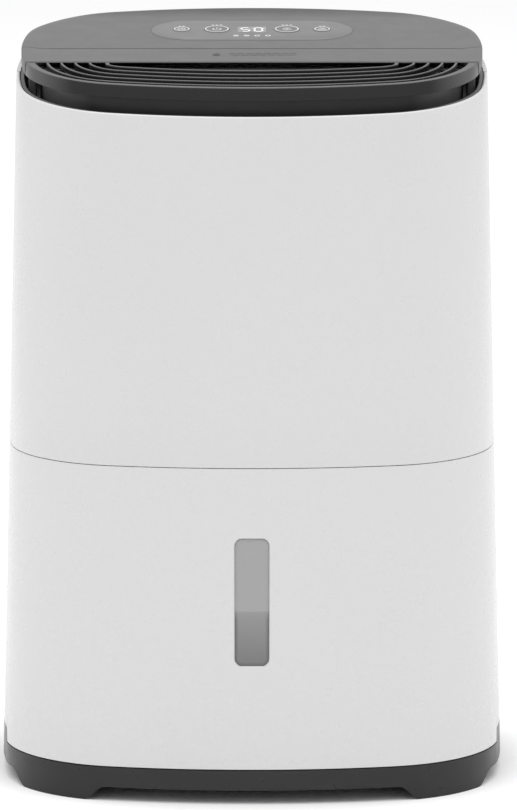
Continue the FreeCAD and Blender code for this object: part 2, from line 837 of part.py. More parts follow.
def make_drip_tray():
    """The tray under the coils, with a spout to the tank and one to the drain."""
    low, high, wall = size("tray_bottom"), size("tray_bottom") + size("tray_height"), size("tray_wall")
    half, front, rear = size("coil_half_width") + 14, size("condenser_front") - 6, 94.0
    tray = solid_box((-half, front, low), (half, rear, high))
    nozzle = size("nozzle_y")
    spout_half = size("spout_half_width")
    spout = solid_box((-spout_half, nozzle - 12, low), (spout_half, front + 1, low + 8))
    shape = tray.fuse(spout)
    basin = ((wall - half, front + wall, low + wall), (half - wall, rear - wall, high + 1))
    shape = shape.cut(solid_box(*basin))
    start = (wall - spout_half, nozzle - 12 + wall, low + wall)
    shape = shape.cut(solid_box(start, (spout_half - wall, front + wall + 1, low + 6)))
    for y, tip in ((nozzle, size("nozzle_length")), (88.0, size("overflow_length"))):
        foot = Vector(0, y, low - tip)
        shape = shape.fuse(Part.makeCylinder(size("nozzle_radius"), tip + wall, foot))
        shape = shape.cut(Part.makeCylinder(size("nozzle_bore"), tip + wall + 1, foot))
    feature("drip_tray", shape)


# ----------------------------------------------------------------------- top

def make_top_collar():
    """The dark ring under the cap: liner, channel floor, neck and handle guides."""
    floor, plate = -size("channel_floor"), size("channel_plate")
    wall, gap = size("wall"), size("fit_gap")
    level = size("cap_level")
    low, high = level - 80, level + 20
    lip = size("lip_level") - level
    outer = body_solid(low, high, wall + gap)
    liner = outer.cut(body_solid(low - 1, high + 1, wall + gap + 2)).common(slab(floor - plate, lip - 0.6))
    neck_outer = oval_solid(neck_shape(), (0, low), (0, high), size("neck_centre_y"))
    thick = size("neck_wall")
    neck_inner = oval_solid(neck_shape(), (thick, low - 1), (thick, high + 1), size("neck_centre_y"))
    ring = outer.cut(neck_inner).common(slab(floor - plate, floor))
    neck = neck_outer.cut(neck_inner).common(slab(floor - plate, -size("cap_skirt") - 0.3))
    shape = ring.fuse(liner).fuse(neck)
    inner, thick_leg = size("leg_inner"), size("leg_thickness")
    front, rear = size("leg_rear") - size("leg_width"), size("leg_rear")
    for side in (-1, 1):
        ends = sorted((side * (inner - 2), side * (inner + thick_leg + 2)))
        sleeve = solid_box((ends[0], front - 2, low - 40), (ends[1], rear + 2, high))
        shape = shape.fuse(sleeve.common(slab(-size("sleeve_bottom"), floor)))
    for side in (-1, 1):
        ends = sorted((side * (inner - gap), side * (inner + thick_leg + gap)))
        slot = solid_box((ends[0], front - gap, low - 60), (ends[1], rear + gap, high))
        shape = shape.cut(slot)
    feature("top_collar", shape)


def make_outlet_grille():
    """The air outlet: a rim around the front of the cap and ribs that follow it."""
    skirt = -size("cap_skirt")
    level = size("cap_level")
    low, high = level - 60, level + 60
    slope = size("rim_slope")
    front = size("strip_front") - 0.4
    before = solid_box((-FAR, -FAR, low - 60), (FAR, front, high + 60))
    outer = oval_solid(cap_shape(), (0, level - 22), (slope * 3, level + 8), size("cap_centre_y"))
    inner = cap_solid(low, high, slope + 2.4)
    rim = outer.cut(inner).common(slab(skirt, -0.1)).common(before)
    beneath = solid_box((-FAR, -FAR, low - 60), (FAR, front + 8, high + 60))
    shape = rim
    for index in range(int(size("rib_count"))):
        inset = slope + size("rib_start") + index * size("rib_pitch")
        rib = cap_solid(low, high, inset).cut(cap_solid(low - 1, high + 1, inset + size("rib_thickness")))
        upper = rib.common(slab(-6, -0.3)).common(before)
        lower = rib.common(slab(-6, -4.8)).common(beneath)
        shape = shape.fuse(upper).fuse(lower)
    half = size("leg_inner") - 0.6
    shelf = solid_box((-half, front + 0.6, low), (half, front + 8, high)).common(slab(skirt, -4.8))
    shelf = shelf.fuse(solid_box((-half, front - 4, low), (half, front + 8, high)).common(slab(skirt, -6)))
    shape = shape.fuse(shelf.common(cap_solid(low, high, size("rim_side") + 0.5)))
    for x in (-96.0, -48.0, 0.0, 48.0, 96.0):
        bar = solid_box((x - 1, -FAR, low), (x + 1, front + 4, high)).common(slab(skirt, -5.6))
        shape = shape.fuse(bar.common(cap_solid(low, high, slope + 2)))
    feature("outlet_grille", shape)


def panel_blank(depth, thick, grow=0.0):
    """The control panel's stadium form in the cap's frame."""
    radius = size("panel_half_height") + grow
    half = size("panel_half_length") - size("panel_half_height")
    middle = size("panel_v")
    bar = Part.makeBox(2 * half, 2 * radius, thick, Vector(-half, middle - radius, depth))
    ends = [Part.makeCylinder(radius, thick, Vector(side * half, middle, depth)) for side in (-1, 1)]
    return bar.fuse(ends).removeSplitter()


def button_places():
    """Name, x and radius of the four buttons."""
    small, large = size("button_small_radius"), size("button_large_radius")
    return (("button_timer", -45.0, small), ("button_power", -22.4, large),
            ("button_mode", 22.4, large), ("button_fan_speed", 45.0, small))


def icon_places():
    return [(index - 1.5) * size("icon_pitch") for index in range(4)]


def panel_holes(low, high, gap):
    """Tools that open the holes of the buttons, the display and the icons."""
    tools = []
    for _, x, radius in button_places():
        tools.append(Part.makeCylinder(radius + gap, high - low, Vector(x, size("button_v"), low)))
    half, tall = size("display_half_width") + gap / 2, size("display_half_height") + gap / 2
    tools.append(Part.makeBox(2 * half, 2 * tall, high - low, Vector(-half, size("display_v") - tall, low)))
    for x in icon_places():
        tools.append(Part.makeCylinder(size("icon_radius") + 0.1, high - low, Vector(x, size("icon_v"), low)))
    return tools


def make_deck_lid():
    """The grey deck with the control panel's recess, crowned at its rear."""
    skirt, plate = -size("cap_skirt"), size("cap_plate")
    level = size("cap_level")
    low, high = level - 60, level + 60
    behind = solid_box((-FAR, size("lid_front"), low - 60), (FAR, FAR, high + 60))
    outer = cap_solid(low, high).common(slab(skirt, 0)).common(behind)
    crown = [edge for edge in outer.Edges if is_crown_edge(edge)]
    outer = outer.makeFillet(2.4, crown)
    inner = cap_solid(low, high, 2.4).common(slab(skirt - 1, -plate))
    inner = inner.common(solid_box((-FAR, size("lid_front") + 2.4, low - 60), (FAR, FAR, high + 60)))
    shape = outer.cut(inner)
    shape = shape.cut(on_cap(panel_blank(-size("panel_depth"), 5, 0.15)))
    for tool in panel_holes(-20, 5, size("button_gap")):
        shape = shape.cut(on_cap(tool))
    feature("deck_lid", shape)


def is_crown_edge(edge):
    """True for the upper edges of the lid's outline, not for its front."""
    middle = edge.valueAt((edge.FirstParameter + edge.LastParameter) / 2)
    rise = math.tan(math.radians(size("cap_tilt")))
    top = size("cap_level") + rise * middle.y
    return abs(middle.z - top) < 0.3 and middle.y > size("lid_front") + 0.5


def make_control_overlay():
    shape = panel_blank(-size("panel_depth") + 0.02, size("panel_depth"))
    for tool in panel_holes(-20, 5, size("button_gap")):
        shape = shape.cut(tool)
    feature("control_overlay", shape, cap_place())


def make_buttons():
    """Four push buttons; each has a flange under the lid's plate."""
    for label, x, radius in button_places():
        top = size("button_rise")
        low = top - size("button_height")
        foot = Vector(x, size("button_v"), low)
        cap = Part.makeCylinder(radius, size("button_height"), foot)
        rims = [edge for edge in cap.Edges if len(edge.Vertexes) == 1]
        rim = [edge for edge in rims if abs(edge.CenterOfMass.z - top) < 0.01]
        cap = cap.makeFillet(size("button_edge"), rim)
        flange = Part.makeCylinder(radius + size("button_flange_lip"), size("button_flange"), foot)
        stem_size = size("button_stem")
        stem = Part.makeCylinder(stem_size, stem_size, foot - Z_AXIS * stem_size)
        feature(label, cap.fuse([flange, stem]), cap_place())


def make_display():
    half, tall = size("display_half_width"), size("display_half_height")
    middle = size("display_v")
    lens = Part.makeBox(2 * half, 2 * tall, 1.0, Vector(-half, middle - tall, -0.95))
    feature("display_window", lens, cap_place())
    module = Part.makeBox(2 * half - 0.6, 2 * tall - 0.6, 6.0, Vector(0.3 - half, middle - tall + 0.3, -7.2))
    feature("display_module", module, cap_place())
    lights = []
    for x in icon_places():
        lights.append(Part.makeCylinder(size("icon_radius"), 5.0, Vector(x, size("icon_v"), -4.95)))
    feature("indicator_lenses", Part.makeCompound(lights), cap_place())


def make_control_board():
    """The panel's circuit board with a tactile switch under each button."""
    top = -size("board_drop")
    board = Part.makeBox(120, 40, size("circuit_thickness"), Vector(-60, 20, top - size("circuit_thickness")))
    parts = [board]
    for _, x, _ in button_places():
        parts.append(Part.makeBox(6, 6, 1.6, Vector(x - 3, size("button_v") - 3, top)))
    parts.append(Part.makeBox(16, 12, 1.7, Vector(-8, 36, top)))
    post_tall = size("board_drop") - size("cap_plate") - 0.2
    for post_x in (-57, 57):
        parts.append(Part.makeCylinder(2, post_tall, Vector(post_x, 56, top)))
    feature("control_board", parts[0].fuse(parts[1:]), cap_place())


def make_carry_handle():
    """The strip across the cap: a handle that draws up on two guided legs."""
    level = size("cap_level")
    low, high = level - 150, level + 60
    front, rear = size("strip_front"), size("strip_rear")
    band = solid_box((-FAR, front, low - 60), (FAR, rear, high + 60))
    bar = cap_solid(low, high).common(slab(-size("strip_plate"), 0)).common(band)
    ends = cap_solid(low, high).cut(cap_solid(low - 1, high + 1, size("rim_side")))
    ends = ends.common(slab(-size("cap_skirt"), 0)).common(band)
    shape = bar.fuse(ends)
    inner, thick = size("leg_inner"), size("leg_thickness")
    leg_front = size("leg_rear") - size("leg_width")
    for side in (-1, 1):
        leg_ends = sorted((side * inner, side * (inner + thick)))
        leg = solid_box((leg_ends[0], leg_front, low - 60), (leg_ends[1], size("leg_rear"), high))
        shape = shape.fuse(leg.common(slab(-size("leg_bottom"), -size("strip_plate") + 0.5)))
        foot_ends = sorted((side * (inner - 2), side * (inner + thick + 1)))
        foot = solid_box((foot_ends[0], leg_front - 2, low - 60), (foot_ends[1], size("leg_rear") + 2, high))
        shape = shape.fuse(foot.common(slab(-size("leg_bottom"), -size("leg_bottom") + size("leg_foot"))))
    feature("carry_handle", shape)


# ------------------------------------------------------------------ air path

def make_fan_scroll():
    """The fan housing: a round casing that opens upwards into the duct."""
    front, rear, wall = size("scroll_front"), size("scroll_rear"), size("scroll_wall")
    radius, level, top = size("scroll_radius"), size("fan_level"), size("scroll_top")
    outer = Part.makeCylinder(radius, rear - front, Vector(0, front, level), Y_AXIS)
    outer = outer.fuse(solid_box((-radius, front, level), (radius, rear, top)))
    inside = radius - wall
    inner = Part.makeCylinder(inside, rear - front - 2 * wall, Vector(0, front + wall, level), Y_AXIS)
    inner = inner.fuse(solid_box((-inside, front + wall, level), (inside, rear - wall, top + 1)))
    shape = outer.cut(inner)
    shape = shape.cut(Part.makeCylinder(size("inlet_radius"), 10, Vector(0, rear - 5, level), Y_AXIS))
    shape = shape.cut(Part.makeCylinder(size("motor_radius") + 0.5, 10, Vector(0, front - 5, level), Y_AXIS))
    feet = []
    for side in (-1, 1):
        x = side * 60.0 - 8
        post_top = level - radius * 0.55
        post_low = size("shelf_bottom") + size("shelf_plate") + 0.2
        feet.append(solid_box((x, front, post_low), (x + 16, front + 8, post_top)))
        feet.append(solid_box((x, rear - 8, post_low), (x + 16, rear, post_top)))
    bore = Part.makeCylinder(inside, rear - front, Vector(0, front, level), Y_AXIS)
    shape = shape.fuse([foot.cut(bore) for foot in feet])
    feature("fan_scroll", shape)


def make_outlet_duct():
    """The duct that widens from the fan to the outlet."""
    low, high = size("scroll_top") + 0.3, size("duct_top")
    front, rear, wall = size("scroll_front"), size("scroll_rear"), size("scroll_wall")

    def layer(half, y_low, y_high, level, inset):
        corners = [Vector(-half + inset, y_low + inset, level), Vector(half - inset, y_low + inset, level),
                   Vector(half - inset, y_high - inset, level), Vector(-half + inset, y_high - inset, level)]
        return Part.makePolygon(corners + corners[:1])

    def funnel(inset, margin):
        wires = [layer(size("scroll_radius"), front, rear, low - margin, inset)]
        wires.append(layer(size("duct_half_width"), front + 12, rear, high + margin, inset))
        return Part.makeLoft(wires, True, True)

    feature("outlet_duct", funnel(0, 0).cut(funnel(wall, 0.01)))


def make_fan_motor():
    """A turned motor case with a mounting flange and a bore for the shaft."""
    flange = "scroll_front - 0.2"
    points = [("shaft_radius + shaft_fit", "motor_rear"), ("motor_radius", "motor_rear"),
              ("motor_radius", flange), ("motor_flange_radius", flange),
              ("motor_flange_radius", flange + " - motor_flange"),
              ("motor_radius", flange + " - motor_flange"), ("motor_radius", "motor_front + 3"),
              ("motor_radius - 3", "motor_front"), ("0", "motor_front"), ("0", "motor_front + 4"),
              ("shaft_radius + shaft_fit", "motor_front + 4")]
    owner = turned("motor_case", "XY_Plane", points)
    bind(owner, "Placement.Base.z", "fan_level")
    node(owner, "fan_motor")


def make_motor_screws():
    screws = []
    for index in range(4):
        angle = math.radians(45 + 90 * index)
        x = 38 * math.cos(angle)
        z = size("fan_level") + 38 * math.sin(angle)
        start = Vector(x, size("scroll_front") - 0.2 - size("motor_flange") - 1.8, z)
        screws.append(Part.makeCylinder(3, 1.8, start, Y_AXIS))
    feature("motor_screws", Part.makeCompound(screws))


def make_fan_impeller():
    """The centrifugal wheel: hub disc, forward blades and rear ring."""
    level = size("fan_level")
    outer, front, rear = size("impeller_radius"), size("impeller_front"), size("impeller_rear")
    disc_y = size("motor_rear") + 4
    disc = Part.makeCylinder(outer, size("hub_disc"), Vector(0, disc_y, level), Y_AXIS)
    boss = Part.makeCylinder(12, 16, Vector(0, disc_y, level), Y_AXIS)
    ring = Part.makeCylinder(outer, 2.4, Vector(0, rear - 2.4, level), Y_AXIS)
    ring = ring.cut(Part.makeCylinder(outer - 7, 4, Vector(0, rear - 3, level), Y_AXIS))
    depth = size("blade_depth")
    blades = []
    count = int(size("impeller_blades"))
    for index in range(count):
        blade = Part.makeBox(size("blade_thickness"), rear - front, depth,
                             Vector(-size("blade_thickness") / 2, front, outer - depth - 1))
        blade.rotate(Vector(0, 0, outer - depth / 2), Y_AXIS, 25)
        blade.rotate(Vector(), Y_AXIS, 360.0 * index / count)
        blade.translate(Vector(0, 0, level))
        blades.append(blade)
    shape = disc.fuse([boss, ring] + blades)
    shape = shape.cut(Part.makeCylinder(size("shaft_radius"), 80, Vector(0, front - 5, level), Y_AXIS))
    feature("fan_impeller", shape)


def make_fan_shaft():
    start = ("0", "motor_front + 5", "fan_level")
    node(rod("shaft", start, "shaft_radius", "impeller_rear - 10 - motor_front - 5", Y_AXIS), "fan_shaft")


# ------------------------------------------------------------- refrigeration

def make_coil(label, front, depth):
    """A finned block and, apart from it, the return bends of its tubes."""
    half, low, tall = size("coil_half_width"), size("coil_bottom"), size("coil_height")
    block_shape = Part.makeBox(2 * half, depth, tall, Vector(-half, front, low))
    slots = []
    count = int((2 * half - 8) / size("fin_pitch"))
    for index in range(count):
        x = -half + 4 + index * size("fin_pitch")
        for face in (front - 1, front + depth * 0.7 + 1):
            slots.append(Part.makeBox(size("fin_slot"), depth * 0.3, tall - 8, Vector(x, face, low + 4)))
    feature(label + "_fins", block_shape.cut(Part.makeCompound(slots)))
    bend = size("tube_pitch") / 2
    tube = size("tube_radius")
    middle = front + depth / 2
    rows = int((tall - 2 * bend) / size("tube_pitch")) + 1
    bends = []
    for row in range(rows):
        side = 1 if row % 2 else -1
        level = low + 1.5 * bend + row * size("tube_pitch")
        if level + bend + tube > low + tall:
            continue
        start = Vector(side * (half + 0.1), middle, level - bend)
        ring = Part.makeCircle(tube, start, X_AXIS)
        crest = Vector(side * (half + 0.1 + bend), middle, level)
        path = Part.Arc(start, crest, start + Z_AXIS * 2 * bend).toShape()
        bends.append(Part.Wire([path]).makePipeShell([Part.Wire([ring])], True, True))
    feature(label + "_bends", Part.makeCompound(bends))


def make_compressor():
    """A hermetic compressor: domed can on a three-eared foot plate."""
    low, top = "compressor_bottom", "compressor_bottom + compressor_height"
    radius, dome = "compressor_radius", "compressor_dome"
    shoulder = (radius + " * 0.86", top + " - " + dome + " * 0.4")
    crown = (radius + " * 0.6", top + " - " + dome + " * 0.12")
    side = [(radius, low + " + " + dome), (radius, top + " - " + dome)]
    points = [("0", low), (radius + " * 0.6", low)] + side + [shoulder, crown, ("0", top)]
    can = turned("compressor_can", "XZ_Plane", points)
    bind(can, "Placement.Base.x", "compressor_x")
    bind(can, "Placement.Base.y", "compressor_y")
    node(can, "compressor")


def grommet_places():
    places = []
    for index in range(3):
        angle = math.radians(90 + 120 * index + 150)
        reach = size("compressor_radius") + 4
        x = size("compressor_x") + reach * math.cos(angle)
        places.append((x, size("compressor_y") + reach * math.sin(angle)))
    return places


def make_compressor_mounting():
    """The foot plate, its rubber grommets and the studs through them."""
    level = size("compressor_bottom") - 3.2
    middle = Vector(size("compressor_x"), size("compressor_y"), level)
    plate = Part.makeCylinder(size("compressor_radius") * 0.55, 3, middle)
    ears, grommets, studs = [], [], []
    floor = size("base_floor_top") + 0.1
    for x, y in grommet_places():
        arm = Part.makeBox((Vector(x, y, level) - middle).Length, 16, 3, Vector(0, -8, 0))
        arm.rotate(Vector(), Z_AXIS, math.degrees(math.atan2(y - middle.y, x - middle.x)))
        arm.translate(middle)
        ears.append(arm.fuse(Part.makeCylinder(9, 3, Vector(x, y, level))))
        grommet = Part.makeCylinder(8, level - 0.1 - floor, Vector(x, y, floor))
        grommets.append(grommet.cut(Part.makeCylinder(3.2, 40, Vector(x, y, floor - 1))))
        stud = Part.makeCylinder(3, level + 8 - floor, Vector(x, y, floor))
        studs.append(stud.fuse(Part.makeCylinder(6, 3.5, Vector(x, y, level + 3.1))))
    shape = plate.fuse(ears)
    for x, y in grommet_places():
        shape = shape.cut(Part.makeCylinder(3.2, 20, Vector(x, y, level - 5)))
    feature("compressor_foot", shape)
    feature("compressor_grommets", Part.makeCompound(grommets))
    feature("compressor_studs", Part.makeCompound(studs))


def make_terminal_cover():
    """The plastic box over the compressor's terminals."""
    x = size("compressor_x") + size("compressor_radius") * 0.9
    cover = Part.makeBox(12, 34, 40, Vector(x, size("compressor_y") - 42, 104))
    can = Part.makeCylinder(size("compressor_radius") + 0.3, 200,
                            Vector(size("compressor_x"), size("compressor_y"), 60))
    cover = cover.cut(can)
    feature("terminal_cover", cover.Solids[0])


def make_accumulator():
    low, radius = "accumulator_bottom", "accumulator_radius"
    top = "accumulator_bottom + accumulator_height"
    points = [("0", low), (radius + " * 0.5", low), (radius, low + " + 10"), (radius, top + " - 10"),
              (radius + " * 0.5", top), ("0", top)]
    can = turned("accumulator_can", "XZ_Plane", points)
    bind(can, "Placement.Base.x", "accumulator_x")
    bind(can, "Placement.Base.y", "accumulator_y")
    node(can, "accumulator")


def bent_pipe(points, radius, bend):
    """A round pipe through points, its turns rounded with the radius bend."""
    edges = []
    start = points[0]
    for index in range(1, len(points) - 1):
        before = (points[index - 1] - points[index]).normalize()
        after = (points[index + 1] - points[index]).normalize()
        turn = math.pi - before.getAngle(after)
        reach = bend * math.tan(turn / 2)
        enter, leave = points[index] + before * reach, points[index] + after * reach
        inward = (before + after).normalize()
        middle = points[index] + inward * (bend / math.cos(turn / 2) - bend)
        edges.append(Part.LineSegment(start, enter).toShape())
        edges.append(Part.Arc(enter, middle, leave).toShape())
        start = leave
    edges.append(Part.LineSegment(start, points[-1]).toShape())
    ring = Part.Wire([Part.makeCircle(radius, points[0], points[1] - points[0])])
    return Part.Wire(edges).makePipeShell([ring], True, True)


def make_pipes():
    """Discharge pipe to the condenser and suction pipe from the evaporator."""
    radius = size("pipe_radius")
    passes = pipe_passes()
    top = size("compressor_bottom") + size("compressor_height")
    coil_end = -size("coil_half_width") - 0.2
    x, y = size("compressor_x") - 20, size("compressor_y") - 18
    high = size("coil_bottom") + size("coil_height") - 4.2
    points = [Vector(x, y, top - 0.8), Vector(x, y, top + 12), Vector(passes[0][0], passes[0][1], top + 12)]
    points += [Vector(passes[0][0], passes[0][1], high)]
    points += [Vector(coil_end - 14, size("condenser_front") + 10, high)]
    points += [Vector(coil_end, size("condenser_front") + 10, high)]
    feature("discharge_pipe", bent_pipe(points, radius, 6.5))
    points = [Vector(size("accumulator_x"), size("accumulator_y"), 165.2)]
    points += [Vector(size("accumulator_x"), size("accumulator_y"), top + 10)]
    points += [Vector(-80, passes[1][1] + 18, top + 10), Vector(passes[1][0], passes[1][1], top + 10)]
    points += [Vector(passes[1][0], passes[1][1], high)]
    points += [Vector(coil_end - 14, size("evaporator_front") + 8, high)]
    points += [Vector(coil_end, size("evaporator_front") + 8, high)]
    feature("suction_pipe", bent_pipe(points, radius, 6.5))


def make_filter_drier():
    points = [("0", "0"), ("3", "0"), ("8", "6"), ("8", "44"), ("3", "50"), ("0", "50")]
    points = [(x, y + " + 150") for x, y in points]
    can = turned("drier_can", "XZ_Plane", points)
    can.Placement.Base = Vector(26, 78, -40)
    node(can, "filter_drier")


# --------------------------------------------------------------- electronics

def make_electronics():
    """The main board in its box, the capacitor and the sensors."""
    corner = ("board_box_x", "board_box_y", "board_box_z")
    lengths = ("board_box_length", "board_box_width", "board_box_height")
    shell = block("board_box_shell", corner, lengths)
    hollow = block("board_box_hollow", ("board_box_x + 2", "board_box_y + 2", "board_box_z + 2"),
                   ("board_box_length - 4", "board_box_width - 4", "board_box_height"))
    node(cut("board_box_case", shell, hollow), "board_box")
    board = block("board_plate", ("board_box_x + 4", "board_box_y + 8", "board_box_z + 6"),
                  ("board_box_length - 8", "circuit_thickness", "board_box_height - 12"))
    parts = [board]
    for index, (x, z, wide, deep, tall) in enumerate(BOARD_PARTS):
        start = ("board_box_x + %d" % x, "board_box_y + 8 + circuit_thickness", "board_box_z + %d" % z)
        parts.append(block("board_part_%d" % index, start, (str(wide), str(deep), str(tall))))
    node(join("board_assembly", parts), "main_board")
    start = ("board_box_x + 36", "board_box_y + 32", "board_box_z + board_box_height + 4")
    capacitor = rod("capacitor_can", start, "capacitor_radius", "capacitor_height")
    node(capacitor, "run_capacitor")
    sensor = block("sensor_case", ("coil_half_width + 18", "28", "300"), ("8", "12", "22"))
    node(sensor, "humidity_sensor")
    thermistor = rod("thermistor_bulb", ("coil_half_width + 20", "80", "300"), "2.5", "18")
    node(thermistor, "coil_thermistor")
    reed = block("reed_case", ("float_x - 6", "parting_reed", "float_bottom - 4"), ("12", "5", "24"))
    node(reed, "reed_switch")


def write_parts():
    """Check every object, then write each sub-part to its own file."""
    DOC.recompute()
    for item in DOC.Objects:
        if "Invalid" in item.State or "Error" in item.State:
            raise RuntimeError("%s failed: %s" % (item.Label, item.State))
    os.makedirs("parts", exist_ok=True)
    for item in NODES:
        shape = item.Shape
        if shape.isNull() or not shape.isValid() or not shape.Solids:
            raise RuntimeError("%s has no valid solid" % item.Label)
        shape.exportStep("parts/%s.step" % item.Label)
        print(item.Label, len(shape.Solids), round(shape.Volume))


make_base_pan()
make_foot_pads()
make_underside_plate()
make_tank_front()
make_tank_window()
make_tank_bucket()
make_tank_lid()
make_float_parts()
make_upper_shell()
make_rear_housing()
make_housing_screws()
make_intake_grille()
make_filter()
make_drain()
make_cord_inlet()
make_tank_bay_wall()
make_shelf()
make_drip_tray()
make_top_collar()
make_outlet_grille()
make_deck_lid()
make_control_overlay()
make_buttons()
make_display()
make_control_board()
make_carry_handle()
make_fan_scroll()
make_outlet_duct()
make_fan_motor()
make_motor_screws()
make_fan_impeller()
make_fan_shaft()
make_coil("condenser", size("condenser_front"), size("condenser_depth"))
make_coil("evaporator", size("evaporator_front"), size("evaporator_depth"))
make_compressor()
make_compressor_mounting()
make_terminal_cover()
make_accumulator()
make_pipes()
make_filter_drier()
make_electronics()
write_parts()
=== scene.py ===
import json
import math

import bmesh
import bpy
import numpy as np
from bpy.props import FloatProperty, FloatVectorProperty, IntProperty, PointerProperty
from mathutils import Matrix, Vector


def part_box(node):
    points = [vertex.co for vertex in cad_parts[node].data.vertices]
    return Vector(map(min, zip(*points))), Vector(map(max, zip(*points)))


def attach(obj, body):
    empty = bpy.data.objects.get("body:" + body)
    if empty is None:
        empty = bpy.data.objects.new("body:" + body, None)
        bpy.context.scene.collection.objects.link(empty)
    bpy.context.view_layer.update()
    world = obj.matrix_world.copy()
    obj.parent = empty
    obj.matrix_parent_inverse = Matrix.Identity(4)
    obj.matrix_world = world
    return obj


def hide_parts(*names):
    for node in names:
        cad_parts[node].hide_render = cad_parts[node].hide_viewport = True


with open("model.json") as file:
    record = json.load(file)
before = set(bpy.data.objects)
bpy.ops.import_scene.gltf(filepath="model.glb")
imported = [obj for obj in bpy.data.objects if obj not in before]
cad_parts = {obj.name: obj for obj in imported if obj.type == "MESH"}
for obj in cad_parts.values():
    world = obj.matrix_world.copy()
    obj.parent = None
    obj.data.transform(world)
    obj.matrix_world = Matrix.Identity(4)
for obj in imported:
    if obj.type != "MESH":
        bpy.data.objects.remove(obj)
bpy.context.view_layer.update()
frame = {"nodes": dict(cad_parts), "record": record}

bl_info = {
    "name": "Dehumidifier Looks",
    "version": (1, 0, 0),
    "blender": (4, 5, 0),
    "location": "3D View > Sidebar > Dehumidifier",
    "description": "Dresses the dehumidifier's frame with its moulded skins, controls and finishes",
    "category": "Object",
}

# Sizes that several pieces share, in metres. Heights on the cap are over its plane.
TANK_FOOT_Y = -0.0416
SEAM_OVERLAP = 0.0002
CAP_SKIRT = -0.0082
RIM_SLANT = 0.0016
RIM_TOP = 0.0037
RIB_TOP = -0.0003
FIRST_RIB = 0.0082
STRIP_BACK = 0.0014
SEAM_SWEEP = 0.0044
SWEEP_LENGTH = 0.0125
DECK_ARC_POINTS = 161
BUTTON_FLANGE = 0.0012
WELL_GAP = 0.0002
MERGE = 1e-6
PANEL_HALF_HEIGHT = 0.024
PANEL_FILM = 0.00022
BUTTON_TOP = 0.0006


def low(node):
    """The lowest corner of a frame part's box."""
    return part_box(node)[0]


def high(node):
    """The highest corner of a frame part's box."""
    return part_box(node)[1]


# Sizes and colours

def length(name, description, default):
    """A size in metres for the sidebar."""
    return FloatProperty(name=name, description=description, default=default, unit="LENGTH", precision=4)


def colour(name, description, default):
    """A colour for the sidebar."""
    return FloatVectorProperty(name=name, description=description, default=default, subtype="COLOR", size=3)


class BodySizes(bpy.types.PropertyGroup):
    """Sizes of the drafted oval body"""
    half_width: length("Half width", "Half the width at the skirt's top", 0.160)
    half_depth: length("Half depth", "Half the depth at the skirt's top", 0.120)
    front_radius: length("Front radius", "Radius of the front and rear arcs", 0.4277)
    corner_radius: length("Corner radius", "Radius of the four corner arcs", 0.0862)
    side_radius: length("Side radius", "Radius of the two side arcs", 0.2854)
    draft: FloatProperty(name="Draft", description="How far the wall comes in for each unit of height",
                         default=0.0247, precision=4)
    wall: length("Wall", "Thickness of the moulded skins", 0.0025)
    gap: length("Gap", "Gap between neighbouring skins", 0.0004)


class CapSizes(bpy.types.PropertyGroup):
    """Sizes of the sloped cap"""
    half_width: length("Half width", "Half the width of the cap", 0.1464)
    half_depth: length("Half depth", "Half the depth of the cap", 0.1043)
    centre_y: length("Centre", "How far the cap's middle is behind the body's", 0.004)
    front_radius: length("Front radius", "Radius of the front and rear arcs", 0.405)
    corner_radius: length("Corner radius", "Radius of the corner arcs", 0.070)
    side_radius: length("Side radius", "Radius of the side arcs", 0.250)
    level: length("Level", "Height of the cap's plane over the middle of the body", 0.46519)
    tilt: FloatProperty(name="Tilt", description="Slope of the cap down to the front",
                        default=math.radians(6.93), subtype="ANGLE")
    lip_level: length("Lip level", "Height of the shell's lip over the body's middle", 0.44955)
    ribs: IntProperty(name="Ribs", description="Number of ribs in the air outlet", default=6)
    rib_pitch: length("Rib pitch", "Distance between the ribs", 0.0087)


class Finishes(bpy.types.PropertyGroup):
    """Colours of the finishes"""
    shell: colour("Shell", "White of the moulded shell", (0.60, 0.60, 0.60))
    # Painted light: the deck and handle grey is a lighter copy of the dark plastic of the base and outlet,
    # standing for the overhead light on their up-facing tops.
    deck: colour("Deck", "Grey of the deck and the handle", (0.142, 0.142, 0.143))
    panel: colour("Panel", "Grey of the control panel", (0.143, 0.143, 0.144))
    dark: colour("Dark", "Near black of the base and the outlet", (0.012, 0.012, 0.012))
    print_white: colour("Print", "Pale print on the controls", (0.60, 0.60, 0.61))


def body_sizes():
    """The body's sizes, as the sidebar has them."""
    return bpy.context.scene.dehumidifier_body


def cap_sizes():
    """The cap's sizes, as the sidebar has them."""
    return bpy.context.scene.dehumidifier_cap


def finishes():
    """The colours, as the sidebar has them."""
    return bpy.context.scene.dehumidifier_finishes


# The oval outline

